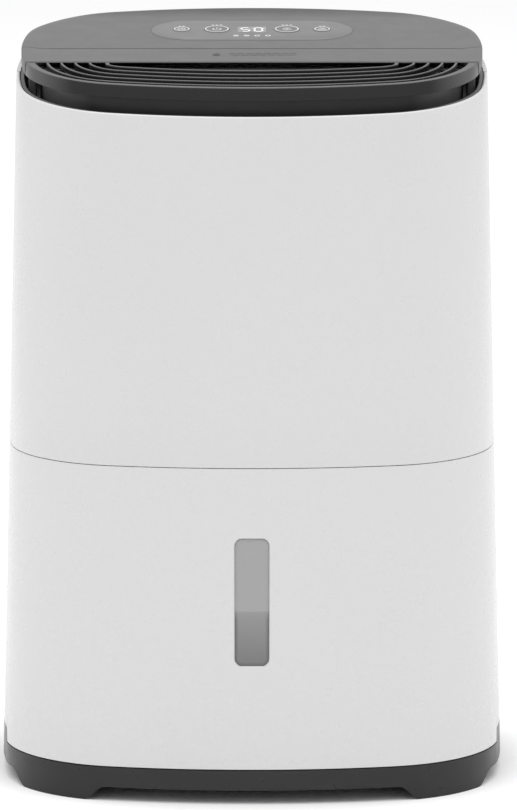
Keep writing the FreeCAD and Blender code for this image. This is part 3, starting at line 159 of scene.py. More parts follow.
class Oval:
    """An oval of front, corner and side arcs, given by the turn of its outward normal.

    A turn of 0 points to the front and grows towards +X. For each turn the point is
    the centre of its arc plus the arc's radius, less the inset, times the normal.
    """

    def __init__(self, half_width, half_depth, front, corner, side, centre_y=0.0):
        """The corner arc's centre is where two circles meet, so that the arcs run into each other smoothly."""
        self.radii = np.array([front, corner, side])
        self.centre_y = centre_y
        front_centre = np.array([0.0, -half_depth + front])
        side_centre = np.array([half_width - side, 0.0])
        between = side_centre - front_centre
        apart = np.hypot(*between)
        along = ((front - corner) ** 2 - (side - corner) ** 2 + apart ** 2) / (2 * apart)
        across = math.sqrt(max((front - corner) ** 2 - along ** 2, 0.0))
        ahead = between / apart
        aside = np.array([-ahead[1], ahead[0]])
        ends = [front_centre + ahead * along + aside * across, front_centre + ahead * along - aside * across]
        corner_centre = max(ends, key=lambda point: point[0] - point[1])
        self.centres = np.array([front_centre, corner_centre, side_centre])
        to_front = corner_centre - front_centre
        to_side = corner_centre - side_centre
        self.first_turn = math.atan2(to_front[0], -to_front[1])
        self.second_turn = math.atan2(to_side[0], -to_side[1])
        fine = np.linspace(-math.pi, math.pi, 7201)
        x, y = self.point(fine, 0.0)
        steps = np.hypot(np.diff(x), np.diff(y))
        self.fine_turns = fine
        self.fine_lengths = np.concatenate([[0.0], np.cumsum(steps)])

    def point(self, turn, inset):
        """x and y on the outline, moved inwards by inset."""
        turn, inset = np.broadcast_arrays(np.asarray(turn, float), np.asarray(inset, float))
        wrapped = (turn + math.pi) % (2 * math.pi) - math.pi
        quarter = np.minimum(np.abs(wrapped), math.pi - np.abs(wrapped))
        arc = (quarter > self.first_turn).astype(int) + (quarter > self.second_turn)
        reach = self.radii[arc] - inset
        x = (self.centres[arc, 0] + reach * np.sin(quarter)) * np.sign(wrapped)
        y = self.centres[arc, 1] - reach * np.cos(quarter)
        rear = np.abs(wrapped) > math.pi / 2
        return x, np.where(rear, -y, y) + self.centre_y

    def turn_at_y(self, y, inset):
        """The turn on the +X side where the outline passes y."""
        y = np.asarray(y, float) - self.centre_y
        inset = np.asarray(inset, float)
        ahead = -np.abs(y)
        side = np.arccos(np.clip(-ahead / (self.radii[2] - inset), -1, 1))
        corner = np.arccos(np.clip((self.centres[1, 1] - ahead) / (self.radii[1] - inset), -1, 1))
        quarter = np.where(side >= self.second_turn, side, corner)
        return np.where(y > 0, math.pi - quarter, quarter)

    def turn_at_x(self, x, inset):
        """The turn of the front arc where the outline passes x."""
        return np.arcsin(np.asarray(x, float) / (self.radii[0] - inset))

    def length_at(self, turn):
        """Length along the outline from the rear to a turn, summed over fine steps."""
        return np.interp(turn, self.fine_turns, self.fine_lengths)

    def spread(self, start, end, shares):
        """Turns between two turns, shared out by length along the outline."""
        begin, finish = self.length_at(start), self.length_at(end)
        return np.interp(begin + (finish - begin) * shares, self.fine_lengths, self.fine_turns)


def body_oval():
    """The body's outline at the skirt's top."""
    body = body_sizes()
    return Oval(body.half_width, body.half_depth, body.front_radius, body.corner_radius, body.side_radius)


def cap_oval():
    """The cap's outline, seen from straight above."""
    cap = cap_sizes()
    radii = cap.front_radius, cap.corner_radius, cap.side_radius
    return Oval(cap.half_width, cap.half_depth, *radii, cap.centre_y)


def body_inset(z):
    """The wall comes in by the draft for each unit of height over the skirt."""
    return body_sizes().draft * (z - low("tank_front").z)


def slope(y):
    """Rise of the cap's plane and of the lip: the tilt's tangent times the distance behind the middle."""
    return math.tan(cap_sizes().tilt) * y


def lip_height(y):
    """Height of the shell's lip: its level over the middle, plus the slope."""
    return cap_sizes().lip_level + slope(y)


def cap_height(y):
    """Height of the cap's plane: its level over the middle, plus the slope."""
    return cap_sizes().level + slope(y)


def parting_y(z):
    """The slanted joint at the tank's rear: a straight line from the skirt to the seam."""
    foot, top = low("tank_front").z, high("tank_front").z
    return TANK_FOOT_Y * (1 - np.clip((z - foot) / (top - foot), 0, 1))


# Meshes

def make_object(name, points, faces, smooth=35.0):
    """A mesh object at the origin with smooth faces and sharp creases over an angle."""
    mesh = bpy.data.meshes.new(name)
    mesh.from_pydata(points.tolist(), [], faces)
    mesh.update()
    mesh.polygons.foreach_set("use_smooth", np.ones(len(mesh.polygons), bool))
    mesh.set_sharp_from_angle(angle=math.radians(smooth))
    piece = bpy.data.objects.new(name, mesh)
    bpy.context.scene.collection.objects.link(piece)
    return piece


def grid_faces(rows, columns, start=0, wrap_rows=False, wrap_columns=False):
    """Quads of a grid of points numbered row by row."""
    numbers = np.arange(rows * columns).reshape(rows, columns) + start
    if wrap_rows:
        numbers = np.vstack([numbers, numbers[:1]])
    if wrap_columns:
        numbers = np.hstack([numbers, numbers[:, :1]])
    quads = np.stack([numbers[:-1, :-1], numbers[:-1, 1:], numbers[1:, 1:], numbers[1:, :-1]], axis=-1)
    return quads.reshape(-1, 4)


def signed_volume(points, faces):
    """Sum of the volumes of the fans that the faces make with the origin."""
    total = 0.0
    for face in faces:
        corner = points[face[0]]
        ring = points[list(face)]
        total += float(np.sum(np.cross(ring[1:-1], ring[2:]) @ corner))
    return total


def outward(points, faces):
    """The faces, turned round if they point into the solid."""
    centred = points - points.mean(axis=0)
    quads = [face for face in faces if len(face) == 4]
    others = [face for face in faces if len(face) != 4]
    quad_array = np.array(quads)
    a, b, c, d = (centred[quad_array[:, index]] for index in range(4))
    total = np.einsum("ij,ij->i", a, np.cross(b, c)).sum() + np.einsum("ij,ij->i", a, np.cross(c, d)).sum()
    total += signed_volume(centred, others)
    if total < 0:
        return [tuple(face[::-1]) for face in faces]
    return [tuple(face) for face in faces]


def slab_object(name, outer, inner):
    """A wall between two grids of points, closed along its four edges."""
    rows, columns = outer.shape[:2]
    shift = rows * columns
    points = np.concatenate([outer.reshape(-1, 3), inner.reshape(-1, 3)])
    numbers = np.arange(shift).reshape(rows, columns)
    faces = [grid_faces(rows, columns), grid_faces(rows, columns, shift)[:, ::-1]]
    for edge, sign in ((numbers[0], 1), (numbers[-1], -1)):
        a, b = edge[:-1], edge[1:]
        faces.append(np.stack([a, a + shift, b + shift, b], axis=-1)[:, ::sign])
    for edge, sign in ((numbers[:, 0], 1), (numbers[:, -1], -1)):
        a, b = edge[:-1], edge[1:]
        faces.append(np.stack([a, b, b + shift, a + shift], axis=-1)[:, ::sign])
    return make_object(name, points, outward(points, np.concatenate(faces).tolist()))


def eased(edge, count):
    """Insets and heights of a rounded edge: a quarter circle from its side up to its top."""
    turn = np.linspace(0, math.pi / 2, count)
    return list(zip(edge * (1 - np.cos(turn)), edge * (np.sin(turn) - 1)))


def loop_object(name, rings, closed=False, smooth=35.0):
    """A solid from rings of points: rows run along it, columns go round its section."""
    rows, columns = rings.shape[:2]
    points = rings.reshape(-1, 3)
    faces = grid_faces(rows, columns, wrap_rows=closed, wrap_columns=True).tolist()
    if not closed:
        faces.append(list(range(columns))[::-1])
        faces.append(list(range((rows - 1) * columns, rows * columns)))
    return make_object(name, points, outward(points, faces), smooth)


def rounded_section(corners, radius, steps=4):
    """A closed section through corners, each rounded by an arc of the radius."""
    corners = np.asarray(corners, float)
    before = np.roll(corners, 1, axis=0) - corners
    after = np.roll(corners, -1, axis=0) - corners
    before /= np.linalg.norm(before, axis=1, keepdims=True)
    after /= np.linalg.norm(after, axis=1, keepdims=True)
    half = np.arccos(np.clip(np.sum(before * after, axis=1), -1, 1)) / 2
    radius = np.broadcast_to(np.asarray(radius, float), half.shape)
    reach = radius / np.tan(half)
    middle = (before + after) / np.linalg.norm(before + after, axis=1, keepdims=True)
    centre = corners + middle * (radius / np.sin(half))[:, None]
    enter = corners + before * reach[:, None] - centre
    leave = corners + after * reach[:, None] - centre
    share = np.linspace(0, 1, steps + 1)[None, :, None]
    arc = enter[:, None] * (1 - share) + leave[:, None] * share
    arc *= (radius[:, None] / np.maximum(np.linalg.norm(arc, axis=2), 1e-12))[:, :, None]
    return (centre[:, None] + arc).reshape(-1, 2)


def bevelled(piece, width, angle):
    """Rounds the piece's creases that are sharper than an angle in degrees."""
    bevel = piece.modifiers.new("rounded_edges", "BEVEL")
    bevel.width = width
    bevel.segments = 2
    bevel.limit_method = "ANGLE"
    bevel.angle_limit = math.radians(angle)
    bevel.harden_normals = True
    return piece


def settle(piece, body, material, slot, *nodes):
    """Gives a piece its finish, its body and the nodes it stands for."""
    piece.data.materials.append(material)
    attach(piece, body)
    if nodes:
        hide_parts(*nodes)
    return piece


def cleaned(piece):
    """The piece with its doubled points merged and its collapsed faces gone."""
    shape = bmesh.new()
    shape.from_mesh(piece.data)
    bmesh.ops.remove_doubles(shape, verts=shape.verts, dist=MERGE)
    bmesh.ops.dissolve_degenerate(shape, edges=shape.edges, dist=MERGE)
    shape.to_mesh(piece.data)
    shape.free()
    piece.data.set_sharp_from_angle(angle=math.radians(35.0))
    return piece


def joined(name, pieces):
    """Several pieces as one, with their points and faces run together."""
    points, faces, start = [], [], 0
    for piece in pieces:
        mesh = piece.data
        flat = np.empty(len(mesh.vertices) * 3)
        mesh.vertices.foreach_get("co", flat)
        points.append(flat.reshape(-1, 3))
        faces += [[index + start for index in polygon.vertices] for polygon in mesh.polygons]
        start += len(mesh.vertices)
        bpy.data.objects.remove(piece)
    return make_object(name, np.concatenate(points), faces)


def dressed(node, body, material, slot, bevel):
    """A copy of a frame part with its doubles merged, its creases kept and its edges eased."""
    mesh = frame["nodes"][node].data.copy()
    mesh.name = node + "_skin"
    shape = bmesh.new()
    shape.from_mesh(mesh)
    bmesh.ops.remove_doubles(shape, verts=shape.verts, dist=MERGE)
    bmesh.ops.dissolve_limit(shape, angle_limit=math.radians(0.4), verts=shape.verts, edges=shape.edges)
    shape.to_mesh(mesh)
    shape.free()
    mesh.materials.clear()
    mesh.polygons.foreach_set("use_smooth", np.ones(len(mesh.polygons), bool))
    mesh.set_sharp_from_angle(angle=math.radians(30.0))
    piece = bpy.data.objects.new(node + "_skin", mesh)
    bpy.context.scene.collection.objects.link(piece)
    if bevel:
        bevelled(piece, bevel, 35.0)
    return settle(piece, body, material, slot, node)


# Materials

class Recipe:
    """A procedural finish on Object coordinates, built up step by step."""

    def __init__(self, name):
        """A new material with one shader, and the Object coordinates that its steps start from."""
        self.material = bpy.data.materials.new(name)
        self.material.use_nodes = True
        self.nodes = self.material.node_tree.nodes
        self.links = self.material.node_tree.links
        self.shader = self.nodes["Principled BSDF"]
        self.place = self.add("TexCoord", {}).outputs["Object"]

    def add(self, kind, inputs, **settings):
        """A shader node with its settings, each of its inputs given a value or linked to a socket."""
        node = self.nodes.new("ShaderNode" + kind)
        for name, value in settings.items():
            setattr(node, name, value)
        for name, value in inputs.items():
            if isinstance(value, bpy.types.NodeSocket):
                self.links.new(value, node.inputs[name])
            else:
                node.inputs[name].default_value = value
        return node

    def along(self, axis):
        """The object's own coordinate along an axis."""
        return self.add("SeparateXYZ", {"Vector": self.place}).outputs[axis]

    def noise(self, scale, detail=3.0, roughness=0.5, stretch=None):
        """Fractal noise, on coordinates stretched by a factor for each axis."""
        place = self.place
        if stretch:
            place = self.add("Mapping", {"Scale": stretch, "Vector": place}).outputs["Vector"]
        inputs = {"Scale": scale, "Detail": detail, "Roughness": roughness, "Vector": place}
        return self.add("TexNoise", inputs).outputs["Fac"]

    def ranged(self, source, low_value, high_value, start=0.3, end=0.7):
        """The source's stretch from start to end, spread evenly from the low to the high value."""
        inputs = {"From Min": start, "From Max": end, "To Min": low_value, "To Max": high_value}
        return self.add("MapRange", {**inputs, "Value": source}).outputs["Result"]

    def mixed(self, first, second, share, blend="MIX"):
        """The first colour with a share of the second."""
        inputs = {"A": first, "B": second, "Factor": share}
        return self.add("Mix", inputs, data_type="RGBA", blend_type=blend).outputs["Result"]

    def paint(self, colour):
        """Gives the surface a colour from a socket."""
        self.links.new(colour, self.shader.inputs["Base Color"])
        return colour

    def tint(self, colour, source, spread):
        """The colour, darker and lighter by the spread where the source says."""
        dark = [max(part * (1 - spread), 0) for part in colour]
        light = [min(part * (1 + spread), 1) for part in colour]
        return self.paint(self.mixed((*dark, 1), (*light, 1), self.ranged(source, 0, 1)))

    def rough(self, source, low_value, high_value):
        """Roughness that wanders between two values where the source says."""
        self.links.new(self.ranged(source, low_value, high_value), self.shader.inputs["Roughness"])

    def bump(self, source, distance, strength=1.0, under=None):
        """Relief of a depth where the source says, on top of another relief if there is one."""
        node = self.add("Bump", {"Distance": distance, "Strength": strength, "Height": source})
        if under:
            self.links.new(under, node.inputs["Normal"])
        self.links.new(node.outputs["Normal"], self.shader.inputs["Normal"])
        return node.outputs["Normal"]


def moulded(name, colour, rough_low, rough_high, grain, depth, spread, shine=0.5, ripple=0.0):
    """Moulded plastic: a fine spark-eroded grain, slow ripples and a slight drift of tone."""
    recipe = Recipe(name)
    recipe.shader.inputs["Specular IOR Level"].default_value = shine
    recipe.tint(colour, recipe.noise(14.0, 2.0), spread)
    recipe.rough(recipe.noise(60.0, 4.0), rough_low, rough_high)
    under = recipe.bump(recipe.noise(9.0, 1.0), ripple, 1.0) if ripple else None
    recipe.bump(recipe.noise(grain, 3.0, 0.6), depth, 0.6, under)
    return recipe.material


def brushed(name, colour, rough_low, rough_high, stretch=(1, 1, 30)):
    """Drawn or rolled metal with fine lines along it."""
    recipe = Recipe(name)
    recipe.shader.inputs["Metallic"].default_value = 1.0
    lines = recipe.noise(400.0, 4.0, 0.6, stretch)
    recipe.tint(colour, recipe.noise(40.0, 3.0), 0.10)
    recipe.rough(lines, rough_low, rough_high)
    recipe.bump(lines, 0.00002, 0.5)
    return recipe.material


def painted_sheen_plastic(name, colour, sheen_tone, shine, reach, roughness):
    """Dark satin plastic whose tone lifts evenly with the distance from the middle, over the reach: a painted
    reflection of the side lights where the surface turns sideways.
    """
    recipe = Recipe(name)
    recipe.shader.inputs["Specular IOR Level"].default_value = shine
    body = recipe.tint(colour, recipe.noise(14.0, 2.0), 0.08)
    from_middle = recipe.add("Math", {0: recipe.along("X")}, operation="ABSOLUTE").outputs["Value"]
    # Painted reflection: the colour lifts towards both ends, where the side lights would glance off the
    # turning surface.
    recipe.paint(recipe.mixed(body, (sheen_tone, sheen_tone, sheen_tone, 1), recipe.ranged(from_middle, 0.0, 1.0, *reach)))
    recipe.rough(recipe.noise(60.0, 4.0), *roughness)
    recipe.bump(recipe.noise(1900.0, 3.0, 0.6), 0.00001, 0.6)
    return recipe.material


def deck_finish(colour):
    """Grained grey plastic whose tone falls off evenly over the last stretch before the rear edge: painted
    shade where the crowned rear edge turns away from the light.
    """
    recipe = Recipe("grey_grained_deck")
    recipe.shader.inputs["Specular IOR Level"].default_value = 0.12
    body = recipe.tint(colour, recipe.noise(14.0, 2.0), 0.012)
    rear = high("deck_lid").y
    # Painted shade: the colour is multiplied darker over the last stretch before the rear edge.
    fall = recipe.ranged(recipe.along("Y"), 0.0, 1.0, rear - 0.036, rear - 0.004)
    recipe.paint(recipe.mixed(body, (0.30, 0.30, 0.30, 1), fall, "MULTIPLY"))
    recipe.rough(recipe.noise(60.0, 4.0), 0.42, 0.52)
    recipe.bump(recipe.noise(2400.0, 3.0, 0.6), 0.00003, 0.6)
    return recipe.material


def frosted_bucket():
    """Milky plastic that lets some light through."""
    recipe = Recipe("frosted_bucket")
    recipe.tint((0.72, 0.75, 0.78), recipe.noise(25.0, 2.0), 0.03)
    recipe.rough(recipe.noise(80.0, 3.0), 0.35, 0.5)
    recipe.bump(recipe.noise(700.0, 3.0), 0.00003, 0.5)
    recipe.shader.inputs["Transmission Weight"].default_value = 0.45
    return recipe.material


def woven_mesh():
    """Black nylon net: the higher of two sets of waves, one across and one up, is a thread."""
    recipe = Recipe("woven_filter_mesh")
    recipe.tint((0.02, 0.02, 0.022), recipe.noise(30.0, 2.0), 0.3)
    recipe.rough(recipe.noise(200.0, 3.0), 0.6, 0.8)
    across, up = (recipe.add("TexWave", {"Scale": 180.0, "Vector": recipe.place}, bands_direction=axis)
                  for axis in ("X", "Z"))
    threads = recipe.add("Math", {0: across.outputs["Fac"], 1: up.outputs["Fac"]}, operation="MAXIMUM")
    recipe.bump(threads.outputs["Value"], 0.0003, 0.8)
    return recipe.material


def window_finish():
    """The level window: pale above the water line, darker and shading off below it, with a dark border."""
    recipe = Recipe("level_window")
    box_low, box_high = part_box("tank_window")
    share = recipe.ranged(recipe.along("Z"), 0, 1, box_low.z, box_high.z)
    ramp = recipe.add("ValToRGB", {"Fac": share})
    stops = ramp.color_ramp.elements
    stops[0].position, stops[0].color = 0.0, (0.125, 0.125, 0.128, 1)
    stops[1].position, stops[1].color = 1.0, (0.295, 0.295, 0.298, 1)
    for position, tone in ((0.38, 0.215), (0.425, 0.24), (0.435, 0.295)):
        stop = stops.new(position)
        stop.color = (tone, tone, tone * 1.01, 1)
    border = recipe.add("Attribute", {}, attribute_name="border")
    strength = recipe.ranged(share, 0.75, 0.12, 0.36, 0.44)
    edge = recipe.add("Math", {0: border.outputs["Fac"], 1: strength}, operation="MULTIPLY")
    recipe.paint(recipe.mixed(ramp.outputs["Color"], (0.07, 0.07, 0.072, 1), edge.outputs["Value"]))
    recipe.rough(recipe.noise(50.0, 2.0), 0.10, 0.16)
    recipe.bump(recipe.noise(600.0, 2.0), 0.000006, 0.5)
    recipe.shader.inputs["Coat Weight"].default_value = 0.4
    recipe.shader.inputs["Coat Roughness"].default_value = 0.05
    return recipe.material


def display_finish():
    """Smoked clear plastic with a light coat."""
    recipe = Recipe("smoked_display")
    recipe.tint((0.18, 0.18, 0.184), recipe.noise(30.0, 2.0), 0.03)
    recipe.rough(recipe.noise(90.0, 2.0), 0.18, 0.26)
    recipe.bump(recipe.noise(1500.0, 2.0), 0.000006, 0.5)
    recipe.shader.inputs["Coat Weight"].default_value = 0.3
    return recipe.material


FINISH = {}


def build_finishes():
    """Makes every finish once. Moulded rows give roughness from and to, grain, its depth, drift and shine."""
    look = finishes()
    plastics = {
        "panel_grey": ("control_panel_film", look.panel, 0.34, 0.42, 3200.0, 0.00001, 0.01),
        # Painted light: the legs are of the dark plastic but get a lighter grey to lift the shade of the deep
        # channel beside the collar.
        "leg": ("leg_plastic", (0.09, 0.09, 0.09), 0.40, 0.50, 1900.0, 0.00001, 0.08, 0.3),
        # Painted light: a lighter copy of the dark outlet plastic for faces that look up, standing for the
        # overhead light on them.
        "rib_top": ("painted_lit_rib_tops", (0.075, 0.075, 0.075), 0.30, 0.38, 1900.0, 0.000008, 0.08),
        "dark_plastic": ("dark_outlet_plastic", look.dark, 0.26, 0.36, 1900.0, 0.00002, 0.08, 0.38),
        "inner_plastic": ("inner_grey_plastic", (0.30, 0.30, 0.31), 0.45, 0.6, 900.0, 0.00003, 0.05),
        "rubber": ("black_rubber", (0.018, 0.018, 0.018), 0.65, 0.85, 1200.0, 0.00005, 0.15),
        "float_foam": ("white_foam", (0.70, 0.70, 0.68), 0.8, 0.9, 500.0, 0.00015, 0.03),
        "circuit": ("green_circuit_board", (0.01, 0.10, 0.035), 0.3, 0.5, 700.0, 0.00004, 0.35),
        "light_lens": ("pale_light_lens", look.print_white, 0.2, 0.3, 1500.0, 0.00001, 0.02),
        "black_paint": ("black_enamel", (0.012, 0.012, 0.012), 0.22, 0.42, 320.0, 0.00006, 0.2),
        "print": ("pale_print", look.print_white, 0.4, 0.5, 2500.0, 0.00001, 0.03),
        "lit_print": ("lit_digits", (0.85, 0.85, 0.86), 0.4, 0.5, 2500.0, 0.00001, 0.03),
        "groove_print": ("panel_groove", (0.085, 0.085, 0.086), 0.5, 0.6, 2500.0, 0.00001, 0.03),
        "button_grey": ("button_film", (0.125, 0.125, 0.126), 0.34, 0.42, 3200.0, 0.00001, 0.01),
        "deep_print": ("sunk_mark", (0.035, 0.035, 0.035), 0.4, 0.5, 2500.0, 0.00001, 0.03),
    }
    metals = {
        "steel": ("zinc_plated_steel", (0.55, 0.56, 0.58), 0.25, 0.42),
        "magnet": ("ferrite_magnet", (0.12, 0.12, 0.13), 0.5, 0.7),
        "aluminium_fin": ("aluminium_fins", (0.78, 0.79, 0.80), 0.3, 0.45, (30, 1, 1)),
        "copper": ("drawn_copper", (0.72, 0.33, 0.18), 0.22, 0.4),
        "capacitor": ("drawn_can", (0.70, 0.70, 0.72), 0.25, 0.35),
    }
    FINISH.update({slot: moulded(*row) for slot, row in plastics.items()})
    FINISH.update({slot: brushed(*row) for slot, row in metals.items()})
    FINISH["white_shell"] = moulded("white_satin_shell", look.shell, 0.26, 0.30, 1500.0, 0.000006, 0.004,
                                    ripple=0.00001)
    FINISH["grey_deck"] = deck_finish(look.deck)
    # The outlet rim and the liner get lighter towards their ends: painted reflection of the side lights.
    FINISH["outlet_gloss"] = painted_sheen_plastic("satin_outlet_plastic", look.dark, 0.085, 0.34,
                                    (0.112, 0.146), (0.22, 0.30))
    FINISH["collar"] = painted_sheen_plastic("liner_plastic", (0.026, 0.026, 0.027), 0.15, 0.25, (0.100, 0.135), (0.30, 0.40))
    FINISH["mesh"] = woven_mesh()
    FINISH["translucent"] = frosted_bucket()
    FINISH["clear_window"] = window_finish()
    FINISH["display"] = display_finish()


# The shell and the tank front

def wall_points(oval, turn, z, depth):
    """Points on the drafted wall: the outline at each height, moved in by the draft and a depth."""
    x, y = oval.point(turn, body_inset(z) + depth)
    return np.stack([x, y, np.broadcast_to(z, x.shape)], axis=-1)


class DEHUMIDIFIER_OT_upper_shell(bpy.types.Operator):
    """Make the white upper front shell with its sloped, rounded lip"""
    bl_idname = "dehumidifier.upper_shell"
    bl_label = "Upper shell"

    def execute(self, context):
        oval = body_oval()
        wall = body_sizes().wall
        foot = low("upper_shell").z - SEAM_OVERLAP
        end_turn = oval.turn_at_y(-body_sizes().gap / 2, 0.0)
        turns = oval.spread(-end_turn, end_turn, np.linspace(0, 1, 181))[:, None]
        _, edge_y = oval.point(turns, body_inset(cap_sizes().lip_level))
        top = lip_height(edge_y)
        # The wall's section as (depth, share of the height, offset), from the foot over the lip and back.
        half_turn = np.linspace(0, math.pi, 13)
        up = [(0.0, share, 0.0) for share in (0.2, 0.4, 0.6, 0.8)]
        over = [(wall / 2 * (1 - math.cos(a)), 1.0, wall / 2 * (math.sin(a) - 1)) for a in half_turn]
        down = [(wall, share, 0.0) for share in (0.8, 0.4)]
        ease = 0.0003
        foot_round = [(wall, 0.0, ease), (wall - ease, 0.0, 0.0), (ease, 0.0, 0.0),
                      (ease * 0.3, 0.0, ease * 0.3), (0.0, 0.0, ease)]
        section = np.array(up + over + down + foot_round)
        z = foot + (top - foot) * section[None, :, 1] + section[None, :, 2]
        rings = wall_points(oval, turns, z, section[None, :, 0])
        piece = loop_object("upper_shell_skin", rings, smooth=50.0)
        settle(piece, "cabinet", FINISH["white_shell"], "white_shell", "upper_shell")
        return {"FINISHED"}


def window_distance(x, z, grow=0.0):
    """Distance outside the window's rounded rectangle; negative inside it."""
    box_low, box_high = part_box("tank_window")
    half_x, half_z = box_high.x + grow, (box_high.z - box_low.z) / 2 + grow
    corner = 0.005 + grow
    across = np.maximum(np.abs(x) - half_x + corner, 0)
    up = np.maximum(np.abs(z - (box_high.z + box_low.z) / 2) - half_z + corner, 0)
    return np.hypot(across, up) - corner


def fine_steps(edges, spans, fine, coarse):
    """Values between the first and last edge, closely spaced within the spans."""
    values = [edges[0]]
    while values[-1] < edges[1] - 1e-9:
        near = any(start - fine <= values[-1] < end for start, end in spans)
        ahead = [start for start, _ in spans if start > values[-1] + 1e-9]
        step = fine if near else coarse
        if not near and ahead:
            step = min(step, max(min(ahead) - values[-1], fine))
        values.append(values[-1] + step)
    values[-1] = edges[1]
    return np.array(values)


class DEHUMIDIFIER_OT_tank_front(bpy.types.Operator):
    """Make the tank's white front with the well of its level window"""
    bl_idname = "dehumidifier.tank_front"
    bl_label = "Tank front"

    def execute(self, context):
        oval = body_oval()
        body = body_sizes()
        foot, top = low("tank_front").z, high("tank_front").z + SEAM_OVERLAP
        window_low, window_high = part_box("tank_window")
        band = 0.006
        spans = ((window_low.z - 0.001, window_low.z + band), (window_high.z - band, window_high.z + 0.001))
        levels = fine_steps((foot, top), spans, 0.0005, 0.008)[None, :]
        x_spans = ((-window_high.x - 0.001, -window_high.x + band),
                   (window_high.x - band, window_high.x + 0.001))
        across = fine_steps((-0.03, 0.03), x_spans, 0.0005, 0.004)
        middle = oval.turn_at_x(across, 0.0)[:, None] * np.ones_like(levels)
        rim_y = parting_y(levels) - body.gap
        end_turn = oval.turn_at_y(rim_y, body_inset(levels))
        side = np.linspace(0, 1, 70)[:, None]
        right = oval.spread(middle[-1:], end_turn, side)[1:]
        turns = np.concatenate([-right[::-1], middle, right])
        z = levels * np.ones_like(turns)
        flat = wall_points(oval, turns, z, 0.0)
        distance = window_distance(flat[..., 0], flat[..., 2], -0.0001)
        well_depth, well_ramp = 0.0014, 0.0004
        well = well_depth * np.clip(0.5 - distance / well_ramp, 0, 1) * (np.abs(turns) < 0.1)
        outer = wall_points(oval, turns, z, well)
        inner = wall_points(oval, turns, z, body.wall)
        piece = slab_object("tank_front_skin", outer, inner)
        bevelled(piece, 0.0003, 60.0)
        settle(piece, "tank", FINISH["white_shell"], "white_shell", "tank_front")
        return {"FINISHED"}


class DEHUMIDIFIER_OT_tank_window(bpy.types.Operator):
    """Make the clear lens of the level window"""
    bl_idname = "dehumidifier.tank_window"
    bl_label = "Tank window"

    def execute(self, context):
        oval = body_oval()
        box_low, box_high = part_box("tank_window")
        half_x, half_z = box_high.x - 0.0003, (box_high.z - box_low.z) / 2 - 0.0003
        middle = (box_high.z + box_low.z) / 2
        corner = 0.0047
        # Rings run inwards over the rounded edge: each is (inset, depth under the wall).
        ease = np.linspace(0, math.pi / 2, 5)
        edge = 0.0004
        insets = np.concatenate([[0.0], edge * (1 - np.cos(ease)), [0.0011, 0.0016, 0.0024, 0.0045]])
        depths = np.concatenate([[0.0013], 0.0007 - edge * np.sin(ease) + edge * 0.3, [0.00042] * 4])
        section = rounded_section([(half_x, half_z), (-half_x, half_z), (-half_x, -half_z), (half_x, -half_z)],
                                  corner, 10)
        normals = section - np.sign(section) * (np.array([half_x, half_z]) - corner)
        inside = np.abs(section) < np.array([half_x, half_z]) - corner
        normals[inside] = 0
        normals /= np.linalg.norm(normals, axis=1, keepdims=True)
        rings = section[None] - normals[None] * insets[:, None, None]
        x, z = rings[..., 0], rings[..., 1] + middle
        inset = body_inset(z) + depths[:, None]
        turns = oval.turn_at_x(x, inset)
        px, py = oval.point(turns, inset)
        grid = np.stack([px, py, z], axis=-1)
        piece = loop_object("tank_window_lens", grid)
        border = piece.data.attributes.new("border", "FLOAT", "POINT")
        shade = np.clip(1.4 - np.repeat(insets, grid.shape[1]) / 0.0016, 0, 1)
        border.data.foreach_set("value", shade)
        settle(piece, "tank", FINISH["clear_window"], "clear_window", "tank_window")
        return {"FINISHED"}


# The cap

def swept_on_cap(oval, section, inset, edge, rows, upright=0.0, ends=0.0):
    """A section carried along the cap's front outline, cut off square at a distance behind the middle.

    The section's first value goes outwards and its second up from the cap's plane. Towards both
    ends its top moves outwards by upright, so that a slanted face comes upright there, and its
    points move inwards by ends, one value or one for each point.
    """
    reach = inset - section[:, 0]
    end = oval.turn_at_y(edge, reach + ends)
    begin, finish = oval.length_at(-end), oval.length_at(end)
    shares = np.linspace(0, 1, rows)[:, None]
    turns = np.interp(begin + (finish - begin) * shares, oval.fine_lengths, oval.fine_turns)
    lift = (section[:, 1] - section[:, 1].min()) / np.ptp(section[:, 1])
    bend = np.clip((np.abs(turns) - 0.5) / 0.9, 0, 1) ** 1.5
    x, y = oval.point(turns, reach[None] + (ends - upright * lift[None]) * bend)
    y[[0, -1]] = edge
    return np.stack([x, y, cap_height(y) + section[None, :, 1]], axis=-1)


def cap_bar(low_corner, high_corner, radius=0.0004):
    """A bar that lies along the cap's plane, with rounded edges along x."""
    (x_low, y_low, h_low), (x_high, y_high, h_high) = low_corner, high_corner
    section = rounded_section([(y_low, h_low), (y_high, h_low), (y_high, h_high), (y_low, h_high)], radius, 3)
    rows = np.array([x_low, x_low + (x_high - x_low) * 0.5, x_high])
    x, y = np.meshgrid(rows, section[:, 0], indexing="ij")
    heights = np.broadcast_to(section[:, 1], x.shape)
    return loop_object("bar", np.stack([x, y, cap_height(y) + heights], axis=-1))


